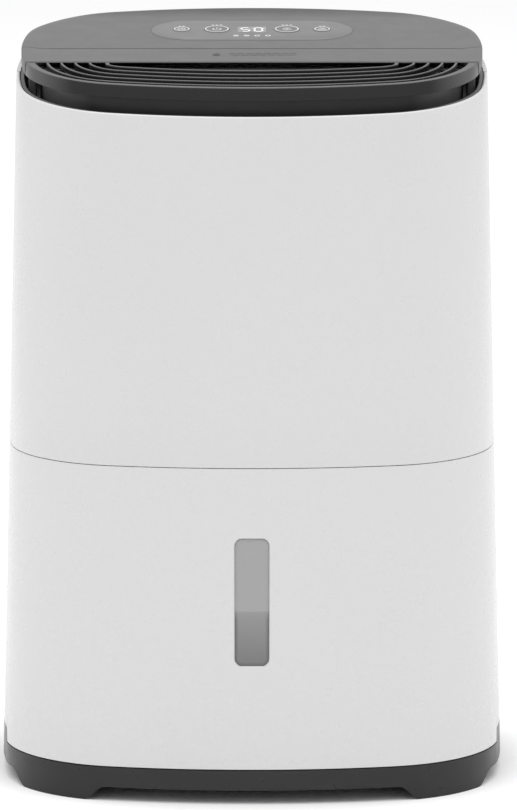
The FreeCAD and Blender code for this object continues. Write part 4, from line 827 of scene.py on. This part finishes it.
class DEHUMIDIFIER_OT_outlet_grille(bpy.types.Operator):
    """Make the air outlet: its rim, the thin ribs that follow it and the bars beneath"""
    bl_idname = "dehumidifier.outlet_grille"
    bl_label = "Outlet grille"

    def execute(self, context):
        oval = cap_oval()
        cap = cap_sizes()
        edge = low("carry_handle").y - 0.0002
        rim_rows, rib_rows = 161, 141
        parts = []
        rim = rounded_section([(0.0, CAP_SKIRT), (-RIM_SLANT, -0.0004), (-RIM_SLANT - RIM_TOP, -0.0004),
                               (-RIM_SLANT - 0.0024, CAP_SKIRT)], [0.0003, 0.0006, 0.0005, 0.0003])
        wider = np.where(rim[:, 0] < -(RIM_SLANT + RIM_TOP) / 2, 0.0020, 0.0)
        swept = swept_on_cap(oval, rim, 0.0, edge, rim_rows, RIM_SLANT - 0.0006, wider)
        parts.append(loop_object("rim", swept))
        for index in range(cap.ribs):
            inset = FIRST_RIB + index * cap.rib_pitch
            rib = rounded_section([(-0.0001, -0.0062), (0.0, RIB_TOP), (-0.0018, RIB_TOP), (-0.0017, -0.0062)],
                                  [0.0003, 0.0006, 0.0006, 0.0003])
            parts.append(loop_object("rib", swept_on_cap(oval, rib, inset, edge, rib_rows, 0.0, 0.0055)))
        reach = low("outlet_grille").y + 0.006
        for middle in (-0.096, -0.048, 0.0, 0.048, 0.096):
            turn = oval.turn_at_x(middle, 0.0) if abs(middle) < 0.08 else 0.3
            front = max(reach, float(oval.point(turn, RIM_SLANT + 0.003)[1]))
            parts.append(cap_bar((middle - 0.001, front + 0.001, CAP_SKIRT),
                                 (middle + 0.001, edge + 0.003, -0.0056)))
        parts.append(cap_bar((-0.1320, edge + 0.001, CAP_SKIRT), (0.1320, edge + 0.007, -0.0052)))
        piece = joined("outlet_grille_skin", parts)
        # Faces that look up get the lighter rib-top finish: painted light from above on one dark plastic.
        normals = np.empty(len(piece.data.polygons) * 3)
        piece.data.polygons.foreach_get("normal", normals)
        painted_lit_tops = (normals.reshape(-1, 3)[:, 2] > 0.8).astype(np.int32)
        settle(piece, "cabinet", FINISH["outlet_gloss"], "dark_plastic", "outlet_grille")
        piece.data.materials.append(FINISH["rib_top"])
        piece.data.polygons.foreach_set("material_index", painted_lit_tops)
        return {"FINISHED"}


def seam_y(x, front, end):
    """The line between deck and handle: straight, then swept back over the last stretch before each end."""
    share = np.clip(1 - (end - np.abs(x)) / SWEEP_LENGTH, 0, 1)
    return front + SEAM_SWEEP * np.sin(share * math.pi / 2) ** 1.4


def region_ring(oval, inset, front, front_inset, count=61):
    """The outline of the deck, moved in: along the seam, then round the rear."""
    end = oval.turn_at_y(front + SEAM_SWEEP + front_inset, inset)
    # The outline's turns run from the right end of the seam round the rear to its left end.
    arc = rear_turns(oval, end, DECK_ARC_POINTS)
    x, y = oval.point(arc, inset)
    first = np.linspace(x[-1], x[0], count + 2)[1:-1]
    line = seam_y(first, front, x[0]) + front_inset
    return np.concatenate([x, first]), np.concatenate([y, line])


def rear_turns(oval, end, count):
    """Turns from the right side at a turn, round the rear, to the left side."""
    half = oval.spread(end, math.pi - 1e-6, np.linspace(0, 1, (count + 1) // 2))
    return np.concatenate([half, -half[-2::-1]])


class DEHUMIDIFIER_OT_deck(bpy.types.Operator):
    """Make the grey deck, softly crowned towards its rear edge"""
    bl_idname = "dehumidifier.deck"
    bl_label = "Deck"

    def execute(self, context):
        oval = cap_oval()
        front = low("deck_lid").y
        # (inset, height) of each ring: up the side, over the edge, then inwards.
        steps = [(0.0024, CAP_SKIRT), (0.0, CAP_SKIRT)]
        steps += eased(0.0012, 6)
        steps += [(inset, 0.0) for inset in (0.002, 0.0035, 0.0055, 0.008, 0.011, 0.015, 0.020, 0.028, 0.038)]
        rings = []
        for inset, height in steps:
            above = height > CAP_SKIRT / 2
            front_inset = max(min(inset, 0.0005), inset * 0.5 - 0.0004) if above else 0.0
            x, y = region_ring(oval, inset, front, front_inset)
            reach = 0.004 + 0.011 * np.clip((y - 0.02) / 0.06, 0, 1)
            fall = np.clip(1 - inset / reach, 0, 1) ** 2 * 0.0034 * np.clip(y / 0.07, 0, 1)
            on_line = np.arange(len(x)) >= DECK_ARC_POINTS
            fall = np.where(on_line, 0.0, fall) if above else 0.0
            z = cap_height(y) + height - fall
            rings.append(np.stack([x, y, z], axis=-1))
        rings = np.array(rings)
        inner = rings[-1]
        centre = np.array([0.0, inner[:, 1].mean(), 0.0])
        for share in (0.75, 0.5, 0.25):
            ring = centre + (inner - centre) * share
            ring[:, 2] = cap_height(ring[:, 1])
            rings = np.concatenate([rings, ring[None]])
        count = rings.shape[1]
        points = rings.reshape(-1, 3)
        faces = grid_faces(rings.shape[0], count, wrap_columns=True).tolist()
        points = np.concatenate([points, [[0.0, centre[1], cap_height(centre[1])]]])
        last = (rings.shape[0] - 1) * count
        tip = len(points) - 1
        faces += [[last + index, last + (index + 1) % count, tip] for index in range(count)]
        faces.append(list(range(count))[::-1])
        piece = cut_wells(make_object("deck_skin", points, outward(points, faces), 50.0), -0.0065)
        settle(piece, "cabinet", FINISH["grey_deck"], "grey_deck", "deck_lid")
        return {"FINISHED"}


def drawn_together(ring, reach, y, height):
    """The ring drawn onto a straight line: x stays within the reach, y and height are the same all along."""
    line = ring.copy()
    line[:, 0] = np.clip(line[:, 0], -reach, reach)
    line[:, 1] = y
    line[:, 2] = height
    return line


def upright_bar(corners, z_low, z_high):
    """A standing bar: a rounded section through the corners, the same at every height."""
    section = rounded_section(corners, 0.0012, 4)
    levels = np.linspace(z_low, z_high, 3)[:, None]
    grid = np.broadcast_arrays(section[None, :, 0], section[None, :, 1], levels)
    return loop_object("leg", np.stack(grid, axis=-1))


class DEHUMIDIFIER_OT_handle(bpy.types.Operator):
    """Make the flush handle across the cap, with its legs"""
    bl_idname = "dehumidifier.handle"
    bl_label = "Carry handle"

    def execute(self, context):
        oval = cap_oval()
        front = low("carry_handle").y + STRIP_BACK
        rear = low("deck_lid").y - 0.0007
        plate = -0.004
        # (inset, height) of each ring, from the underside round the skirt and over the edge.
        steps = [(0.0052, plate), (0.0052, CAP_SKIRT), (0.0, CAP_SKIRT)]
        steps += eased(0.0008, 5)
        steps += [(inset, 0.0) for inset in (0.003, 0.006, 0.012)]
        rings = []
        line = 121
        side = 21
        ends = 0.5 - 0.5 * np.cos(np.linspace(0, math.pi, line + 2))[1:-1]
        front_line = 0.137 * (2 * ends - 1)
        for inset, height in steps:
            easing = max(min(inset, 0.0005), inset * 0.5 - 0.0004) if height > -0.002 else 0.0
            undercut = 0.010 if height <= plate else 0.0
            hollow = undercut * np.clip((0.131 - np.abs(front_line)) / 0.006, 0, 1)
            y_low, y_high = front + easing, rear - easing
            begin = oval.turn_at_y(y_low, inset)
            end = oval.turn_at_y(y_high + SEAM_SWEEP, inset)
            turns = oval.spread(begin, end, np.linspace(0, 1, side))
            x, y = oval.point(turns, inset)
            back_x = x[-1] - 2 * x[-1] * ends
            front_x = -x[0] + 2 * x[0] * ends
            ring_x = np.concatenate([x, back_x, -x[::-1], front_x])
            ring_y = np.concatenate([y, seam_y(back_x, y_high, x[-1]), y[::-1], y_low + hollow])
            level = np.concatenate([np.full(side, height), np.full(line, max(height, plate))] * 2)
            rings.append(np.stack([ring_x, ring_y, cap_height(ring_y) + level], axis=-1))
        rings = np.array(rings)
        half = (front + rear) / 2
        spine_reach = 0.127
        spine = drawn_together(rings[-1], spine_reach, half, cap_height(half))
        keel = drawn_together(rings[0], spine_reach, half, cap_height(half) + plate)
        rings = np.concatenate([keel[None], rings, spine[None]])
        points = rings.reshape(-1, 3)
        faces = grid_faces(rings.shape[0], rings.shape[1], wrap_columns=True).tolist()
        strip = cleaned(make_object("carry_handle_skin", points, outward(points, faces)))
        settle(strip, "handle", FINISH["grey_deck"], "grey_deck", "carry_handle")
        box_low = low("carry_handle")
        legs = []
        for sign in (-1, 1):
            # (inner x, outer x, front y, rear y, foot z, top z) of the leg and of the lug under it.
            spans = ((0.136, 0.141, -0.030, -0.012, box_low.z + 0.003, 0.457),
                     (0.134, 0.142, -0.032, -0.010, box_low.z, box_low.z + 0.003))
            for inner, outer, y_low, y_high, z_low, z_high in spans:
                near, far = sign * inner, sign * outer
                corners = [(near, y_low), (far, y_low), (far, y_high), (near, y_high)]
                legs.append(upright_bar(corners, z_low, z_high))
        settle(joined("carry_handle_legs", legs), "handle", FINISH["leg"], "dark_plastic")
        return {"FINISHED"}


# The controls

def on_cap(points):
    """Points of the cap's own frame (across, up the slope, out of it) in the row's frame."""
    cap = cap_sizes()
    cosine, sine = math.cos(cap.tilt), math.sin(cap.tilt)
    x, v, w = points[..., 0], points[..., 1], points[..., 2]
    return np.stack([x, v * cosine - w * sine, cap.level + v * sine + w * cosine], axis=-1)


def plate_on_cap(name, outline, bottom, top, edge=0.0002):
    """A flat plate on the cap from a closed outline, its upper edge eased."""
    centre = outline.mean(axis=0)
    size = np.abs(outline - centre).max()
    rings = []
    for inset, height in ((0.0, bottom), (0.0, top - edge), (edge * 0.3, top - edge * 0.3), (edge, top)):
        share = 1 - inset / size
        ring = centre + (outline - centre) * share
        rings.append(np.column_stack([ring, np.full(len(ring), height)]))
    rings = on_cap(np.array(rings))
    return loop_object(name, rings)


def stadium(half_length, half_height, centre_v, steps=32):
    """A stadium outline: two half circles joined by straight lines."""
    angle = np.linspace(-math.pi / 2, math.pi / 2, steps)
    right = np.stack([np.cos(angle), np.sin(angle)], axis=-1) * half_height
    left = -right
    straight = half_length - half_height
    shape = np.concatenate([right + [straight, 0], left - [straight, 0]])
    return shape + [0, centre_v]


def turned_button(name, x, v, radius, top, dish):
    """A round button: a dished top, a rounded rim and a straight side, spun about its axis."""
    angle = np.linspace(0, 2 * math.pi, 64, endpoint=False)
    ease = np.linspace(0, math.pi / 2, 6)
    edge = 0.0005
    profile = [(radius, top - 0.0050), (radius, top - edge)]
    profile += [(radius - edge + edge * math.cos(a), top - edge + edge * math.sin(a)) for a in ease[1:]]
    for share in (0.85, 0.65, 0.45, 0.25, 0.05):
        profile.append(((radius - edge) * share, top - dish * (1 - share ** 2)))
    profile = np.array(profile)
    rings = np.stack([x + profile[:, 0, None] * np.cos(angle), v + profile[:, 0, None] * np.sin(angle),
                      np.broadcast_to(profile[:, 1, None], (len(profile), len(angle)))], axis=-1)
    return loop_object(name, on_cap(rings))


BUTTONS = {
    "timer_button": "button_timer",
    "power_button": "button_power",
    "mode_button": "button_mode",
    "fan_speed_button": "button_fan_speed",
}


def cap_middle(node):
    """A node's middle in the cap's own frame."""
    cap = cap_sizes()
    box_low, box_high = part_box(node)
    middle = (box_low + box_high) / 2
    up = middle.z - cap.level
    return middle.x, middle.y * math.cos(cap.tilt) + up * math.sin(cap.tilt)


def button_radius(node):
    """Radius of a button's visible cap, inside the flange that holds it under the deck."""
    return (high(node).x - low(node).x) / 2 - BUTTON_FLANGE


def cut_wells(piece, floor):
    """Cuts a round well for each button: a cylinder square to the cap, a gap wider than the button."""
    angle = np.linspace(0, 2 * math.pi, 64, endpoint=False)
    wells = []
    for node in BUTTONS.values():
        x, v = cap_middle(node)
        radius = button_radius(node) + WELL_GAP
        ring = np.stack([x + radius * np.cos(angle), v + radius * np.sin(angle)], axis=-1)
        levels = [np.column_stack([ring, np.full(len(ring), level)]) for level in (floor, 0.003)]
        wells.append(loop_object("well", on_cap(np.array(levels))))
    cutter = joined("wells", wells)
    boolean = piece.modifiers.new("wells", "BOOLEAN")
    boolean.operation = "DIFFERENCE"
    boolean.solver = "EXACT"
    boolean.object = cutter
    solved = piece.evaluated_get(bpy.context.evaluated_depsgraph_get())
    mesh = bpy.data.meshes.new_from_object(solved)
    piece.modifiers.clear()
    piece.data = mesh
    mesh.set_sharp_from_angle(angle=math.radians(35.0))
    bpy.data.objects.remove(cutter)
    return piece


def stroke(path, width, height, closed=False, thick=0.00006):
    """A printed line: a thin ribbon along a path in the cap's frame."""
    path = np.asarray(path, float)
    if closed:
        ahead = np.roll(path, -1, axis=0) - np.roll(path, 1, axis=0)
    else:
        ahead = np.gradient(path, axis=0)
    ahead /= np.linalg.norm(ahead, axis=1, keepdims=True)
    aside = np.stack([-ahead[:, 1], ahead[:, 0]], axis=-1) * width / 2
    left, right = path + aside, path - aside
    corners = [np.column_stack([left, np.full(len(path), height)]),
               np.column_stack([left, np.full(len(path), height + thick)]),
               np.column_stack([right, np.full(len(path), height + thick)]),
               np.column_stack([right, np.full(len(path), height)])]
    return loop_object("line", on_cap(np.stack(corners, axis=1)), closed)


def arc(x, v, radius, start=0.0, end=360.0, steps=49):
    """Points of an arc between two angles in degrees."""
    closed = end - start >= 360.0
    angle = np.radians(np.linspace(start, end, steps, endpoint=not closed))
    return np.stack([x + radius * np.cos(angle), v + radius * np.sin(angle)], axis=-1)


def line(x1, v1, x2, v2):
    """Four evenly spaced points from one end to the other."""
    return np.linspace((x1, v1), (x2, v2), 4)


def segments(x, v, half_x, half_v, lit):
    """The lit bars of a seven-bar digit, named a to g clockwise from the top with g in the middle."""
    trim = 0.0006
    bars = {
        "a": line(x - half_x + trim, v + half_v, x + half_x - trim, v + half_v),
        "b": line(x + half_x, v + half_v - trim, x + half_x, v + trim),
        "c": line(x + half_x, v - trim, x + half_x, v - half_v + trim),
        "d": line(x - half_x + trim, v - half_v, x + half_x - trim, v - half_v),
        "e": line(x - half_x, v - trim, x - half_x, v - half_v + trim),
        "f": line(x - half_x, v + half_v - trim, x - half_x, v + trim),
        "g": line(x - half_x + trim, v, x + half_x - trim, v),
    }
    return [bars[name] for name in lit]


class DEHUMIDIFIER_OT_controls(bpy.types.Operator):
    """Make the control panel, its buttons, its display and its printed symbols"""
    bl_idname = "dehumidifier.controls"
    bl_label = "Controls"

    def execute(self, context):
        panel_low, panel_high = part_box("control_overlay")
        _, v = cap_middle("control_overlay")
        half = (panel_high.x - panel_low.x) / 2
        rim = stadium(half + 0.0004, PANEL_HALF_HEIGHT + 0.0004, v)
        groove = plate_on_cap("panel_outline", rim, -0.0004, 0.00003, 0.00001)
        settle(cut_wells(groove, -0.0015), "cabinet", FINISH["groove_print"], "panel_grey")
        face = stadium(half, PANEL_HALF_HEIGHT, v)
        overlay = plate_on_cap("control_overlay_skin", face, -0.0004, PANEL_FILM, 0.00015)
        settle(cut_wells(overlay, -0.0015), "cabinet", FINISH["panel_grey"], "panel_grey", "control_overlay")
        for body, node in BUTTONS.items():
            x, v = cap_middle(node)
            radius = button_radius(node)
            button = turned_button(node + "_cap", x, v, radius, BUTTON_TOP, 0.00015)
            settle(button, body, FINISH["button_grey"], "panel_grey", node)
            ring = [stroke(arc(x, v, radius - 0.0007), 0.0008, BUTTON_TOP - 0.00003, True)]
            ring += self.symbol(node, x, v, BUTTON_TOP - 0.00011)
            settle(joined(node + "_print", ring), body, FINISH["print"], "light_lens")
        self.marks(PANEL_FILM)
        self.display(PANEL_FILM)
        self.badge()
        return {"FINISHED"}

    def symbol(self, node, x, v, height):
        """The symbol of a button, drawn in a few strokes."""
        if node == "button_power":
            path = [arc(x, v - 0.0002, 0.0026, 125, 415), line(x, v + 0.0006, x, v + 0.0034)]
        elif node == "button_mode":
            path = [arc(x, v, 0.0027, 20, 160), arc(x, v, 0.0027, 200, 340), arc(x, v, 0.0008)]
        elif node == "button_timer":
            path = [arc(x, v, 0.0023), line(x, v, x, v + 0.0015), line(x, v, x + 0.0012, v)]
        else:
            path = [arc(x + 0.0012 * math.sin(a), v + 0.0012 * math.cos(a), 0.0012) for a in (0.0, 2.09, 4.19)]
        return [stroke(points, 0.0007, height) for points in path]

    def marks(self, height):
        """Small printed marks behind the buttons and the row of indicators in front of the display."""
        strokes = []
        for sign in (-1, 1):
            x, v = cap_middle("button_mode" if sign > 0 else "button_power")
            for step in (-1, 0, 1):
                strokes.append(stroke(arc(x + step * 0.0026, v + 0.0108, 0.0006), 0.0006, height, True))
            x, v = cap_middle("button_fan_speed" if sign > 0 else "button_timer")
            for step in (-1, 1):
                strokes.append(stroke(arc(x + step * 0.0012, v + 0.0078, 0.0006), 0.0006, height, True))
        _, v = cap_middle("indicator_lenses")
        for index in range(4):
            x = (index - 1.5) * 0.0068
            strokes.append(stroke(arc(x, v, 0.0014), 0.0008, height, True))
        icons = [stroke(line(-0.0108, v, -0.0096, v), 0.0008, height),
                 stroke(line(-0.0034, v - 0.0005, -0.0034, v + 0.0005), 0.0008, height)]
        settle(joined("panel_print", strokes + icons), "cabinet", FINISH["print"], "light_lens")

    def display(self, height):
        """The display's lens and its two lit digits."""
        box_low, box_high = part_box("display_window")
        _, v = cap_middle("display_window")
        half = (box_high.x - box_low.x) / 2
        below, above = v - 0.0074, v + 0.0074
        corners = [(half, below), (half, above), (-half, above), (-half, below)]
        outline = rounded_section(corners, 0.0006, 4)
        lens = plate_on_cap("display_lens", outline, -0.0004, height + 0.00008, 0.00005)
        settle(lens, "cabinet", FINISH["display"], "display", "display_window")
        bars = []
        for x, lit in ((-0.0042, "acdfg"), (0.0042, "abcdef")):
            for bar in segments(x, v, 0.0024, 0.0046, lit):
                bars.append(stroke(bar, 0.0013, height + 0.0001))
        settle(joined("display_digits", bars), "cabinet", FINISH["lit_print"], "light_lens")

    def badge(self):
        """A droplet and two waves sunk into the handle: a plain humidity sign."""
        rise = 0.00002
        v = -0.0187
        share = np.linspace(0, 2 * math.pi, 40, endpoint=False)
        x = -0.0225 + 0.0034 * np.sin(share) * np.sin(share / 2)
        drop = np.stack([x, v + 0.0038 * np.cos(share)], axis=-1)
        pieces = [plate_on_cap("drop", drop, -0.0003, rise + 0.00004, 0.00001)]
        for shift in (-0.002, 0.002):
            along = np.linspace(-0.014, 0.028, 90)
            swing = 0.0011 * np.sin((along + 0.014) / 0.0028 * math.pi)
            wave = np.stack([along, v + shift + swing], axis=-1)
            pieces.append(stroke(wave, 0.0010, 0.0, thick=0.00005))
        settle(joined("handle_sign", pieces), "handle", FINISH["deep_print"], "grey_deck")


# Other parts

DRESSED = {
    "rear_housing": 0.0006, "base_pan": 0.0006, "underside_plate": 0.0004, "intake_grille": 0.0004,
    "top_collar": 0.0004, "foot_pads": 0.0004, "tank_bucket": 0.0, "tank_lid": 0.0004, "filter_frame": 0.0,
    "drain_spigot": 0.0003, "drain_plug": 0.0003, "cord_inlet": 0.0003, "fan_scroll": 0.0, "outlet_duct": 0.0,
    "fan_motor": 0.0004, "compressor": 0.0, "accumulator": 0.0, "chassis_shelf": 0.0, "tank_bay_wall": 0.0,
    "drip_tray": 0.0003,
}


def body_of(node):
    """The body that the record lists a node under."""
    for name, nodes in frame["record"]["behaviour"]["bodies"].items():
        if node in nodes:
            return name
    raise RuntimeError("%s is in no body" % node)


def slot_of(node):
    """The material slot that the record gives a node."""
    for part in frame["record"]["subparts"]:
        if part["node"] == node:
            return part["material_slot"]
    raise RuntimeError("%s has no slot" % node)


class DEHUMIDIFIER_OT_dress_frame(bpy.types.Operator):
    """Smooth and finish the frame parts that keep their shape"""
    bl_idname = "dehumidifier.dress_frame"
    bl_label = "Frame parts"

    def execute(self, context):
        for node, bevel in DRESSED.items():
            slot = slot_of(node)
            finish = FINISH["collar"] if node == "top_collar" else FINISH[slot]
            dressed(node, body_of(node), finish, slot, bevel)
        for node, item in frame["nodes"].items():
            item.data.materials.clear()
            item.data.materials.append(FINISH[slot_of(node)])
        return {"FINISHED"}


# The stage

def pale_floor():
    """Near-white matt floor with a slight drift of tone."""
    recipe = Recipe("pale_floor")
    recipe.tint((0.965, 0.965, 0.965), recipe.noise(1.5, 2.0), 0.004)
    recipe.rough(recipe.noise(6.0, 3.0), 0.75, 0.85)
    recipe.bump(recipe.noise(250.0, 3.0), 0.00004, 0.3)
    return recipe.material


def area_light(name, place, aim, size, power):
    """A soft rectangular light at a place, turned to its aim."""
    data = bpy.data.lights.new(name, "AREA")
    data.shape = "RECTANGLE"
    data.size, data.size_y = size
    data.energy = power
    lamp = bpy.data.objects.new(name, data)
    lamp.location = place
    lamp.rotation_euler = (Vector(aim) - Vector(place)).to_track_quat("-Z", "Y").to_euler()
    bpy.context.scene.collection.objects.link(lamp)


class DEHUMIDIFIER_OT_stage(bpy.types.Operator):
    """Set up the pale floor, the soft light and the camera"""
    bl_idname = "dehumidifier.stage"
    bl_label = "Stage"

    def execute(self, context):
        scene = context.scene
        reach = 14.0
        corners = [(-reach, -reach, 0), (reach, -reach, 0), (reach, reach, 0), (-reach, reach, 0)]
        floor = make_object("floor", np.array(corners, float), [(0, 1, 2, 3)])
        floor.data.materials.append(pale_floor())
        world = bpy.data.worlds.new("studio")
        world.use_nodes = True
        background = world.node_tree.nodes["Background"]
        background.inputs["Color"].default_value = (1, 1, 1, 1)
        background.inputs["Strength"].default_value = 0.82
        scene.world = world
        area_light("softbox_overhead", (0.0, -0.6, 4.0), (0, 0, 0.2), (5.0, 4.0), 120.0)
        for side, x in (("left", -3.4), ("right", 3.4)):
            area_light("softbox_" + side, (x, 0.3, 1.6), (0, 0, 0.3), (3.0, 3.0), 9.0)
        camera_data = bpy.data.cameras.new("camera")
        camera_data.sensor_width = 36.0
        camera_data.lens = 321.86
        camera_data.shift_x = 0.00815
        camera_data.shift_y = 0.0006
        camera_data.clip_end = 100.0
        camera = bpy.data.objects.new("camera", camera_data)
        camera.location = (0.0, -4.5603, 1.0959)
        downwards = 10.71
        camera.rotation_euler = (math.radians(90 - downwards), 0.0, 0.0)
        scene.collection.objects.link(camera)
        scene.camera = camera
        scene.view_settings.view_transform = "Standard"
        return {"FINISHED"}


class DEHUMIDIFIER_PT_panel(bpy.types.Panel):
    """The dehumidifier's sizes, colours and pieces"""
    bl_idname = "DEHUMIDIFIER_PT_panel"
    bl_label = "Dehumidifier"
    bl_space_type = "VIEW_3D"
    bl_region_type = "UI"
    bl_category = "Dehumidifier"

    def draw(self, context):
        layout = self.layout
        for group in (body_sizes(), cap_sizes(), finishes()):
            box = layout.box()
            for name in group.__annotations__:
                box.prop(group, name)
        for operator in PIECES:
            layout.operator(operator.bl_idname)


PIECES = (
    DEHUMIDIFIER_OT_upper_shell,
    DEHUMIDIFIER_OT_tank_front,
    DEHUMIDIFIER_OT_tank_window,
    DEHUMIDIFIER_OT_outlet_grille,
    DEHUMIDIFIER_OT_deck,
    DEHUMIDIFIER_OT_handle,
    DEHUMIDIFIER_OT_controls,
    DEHUMIDIFIER_OT_dress_frame,
    DEHUMIDIFIER_OT_stage,
)
GROUPS = {"dehumidifier_body": BodySizes, "dehumidifier_cap": CapSizes, "dehumidifier_finishes": Finishes}


def register():
    """Registers the sizes, the operators and the panel."""
    for name, group in GROUPS.items():
        bpy.utils.register_class(group)
        setattr(bpy.types.Scene, name, PointerProperty(type=group))
    for item in PIECES + (DEHUMIDIFIER_PT_panel,):
        bpy.utils.register_class(item)


def unregister():
    """Takes back everything that register adds."""
    for item in (DEHUMIDIFIER_PT_panel,) + PIECES[::-1]:
        bpy.utils.unregister_class(item)
    for name, group in GROUPS.items():
        delattr(bpy.types.Scene, name)
        bpy.utils.unregister_class(group)


def main():
    """Makes the finishes and every piece."""
    register()
    build_finishes()
    for operator in PIECES:
        group, name = operator.bl_idname.split(".")
        getattr(getattr(bpy.ops, group), name)()


if __name__ == "__main__":
    main()
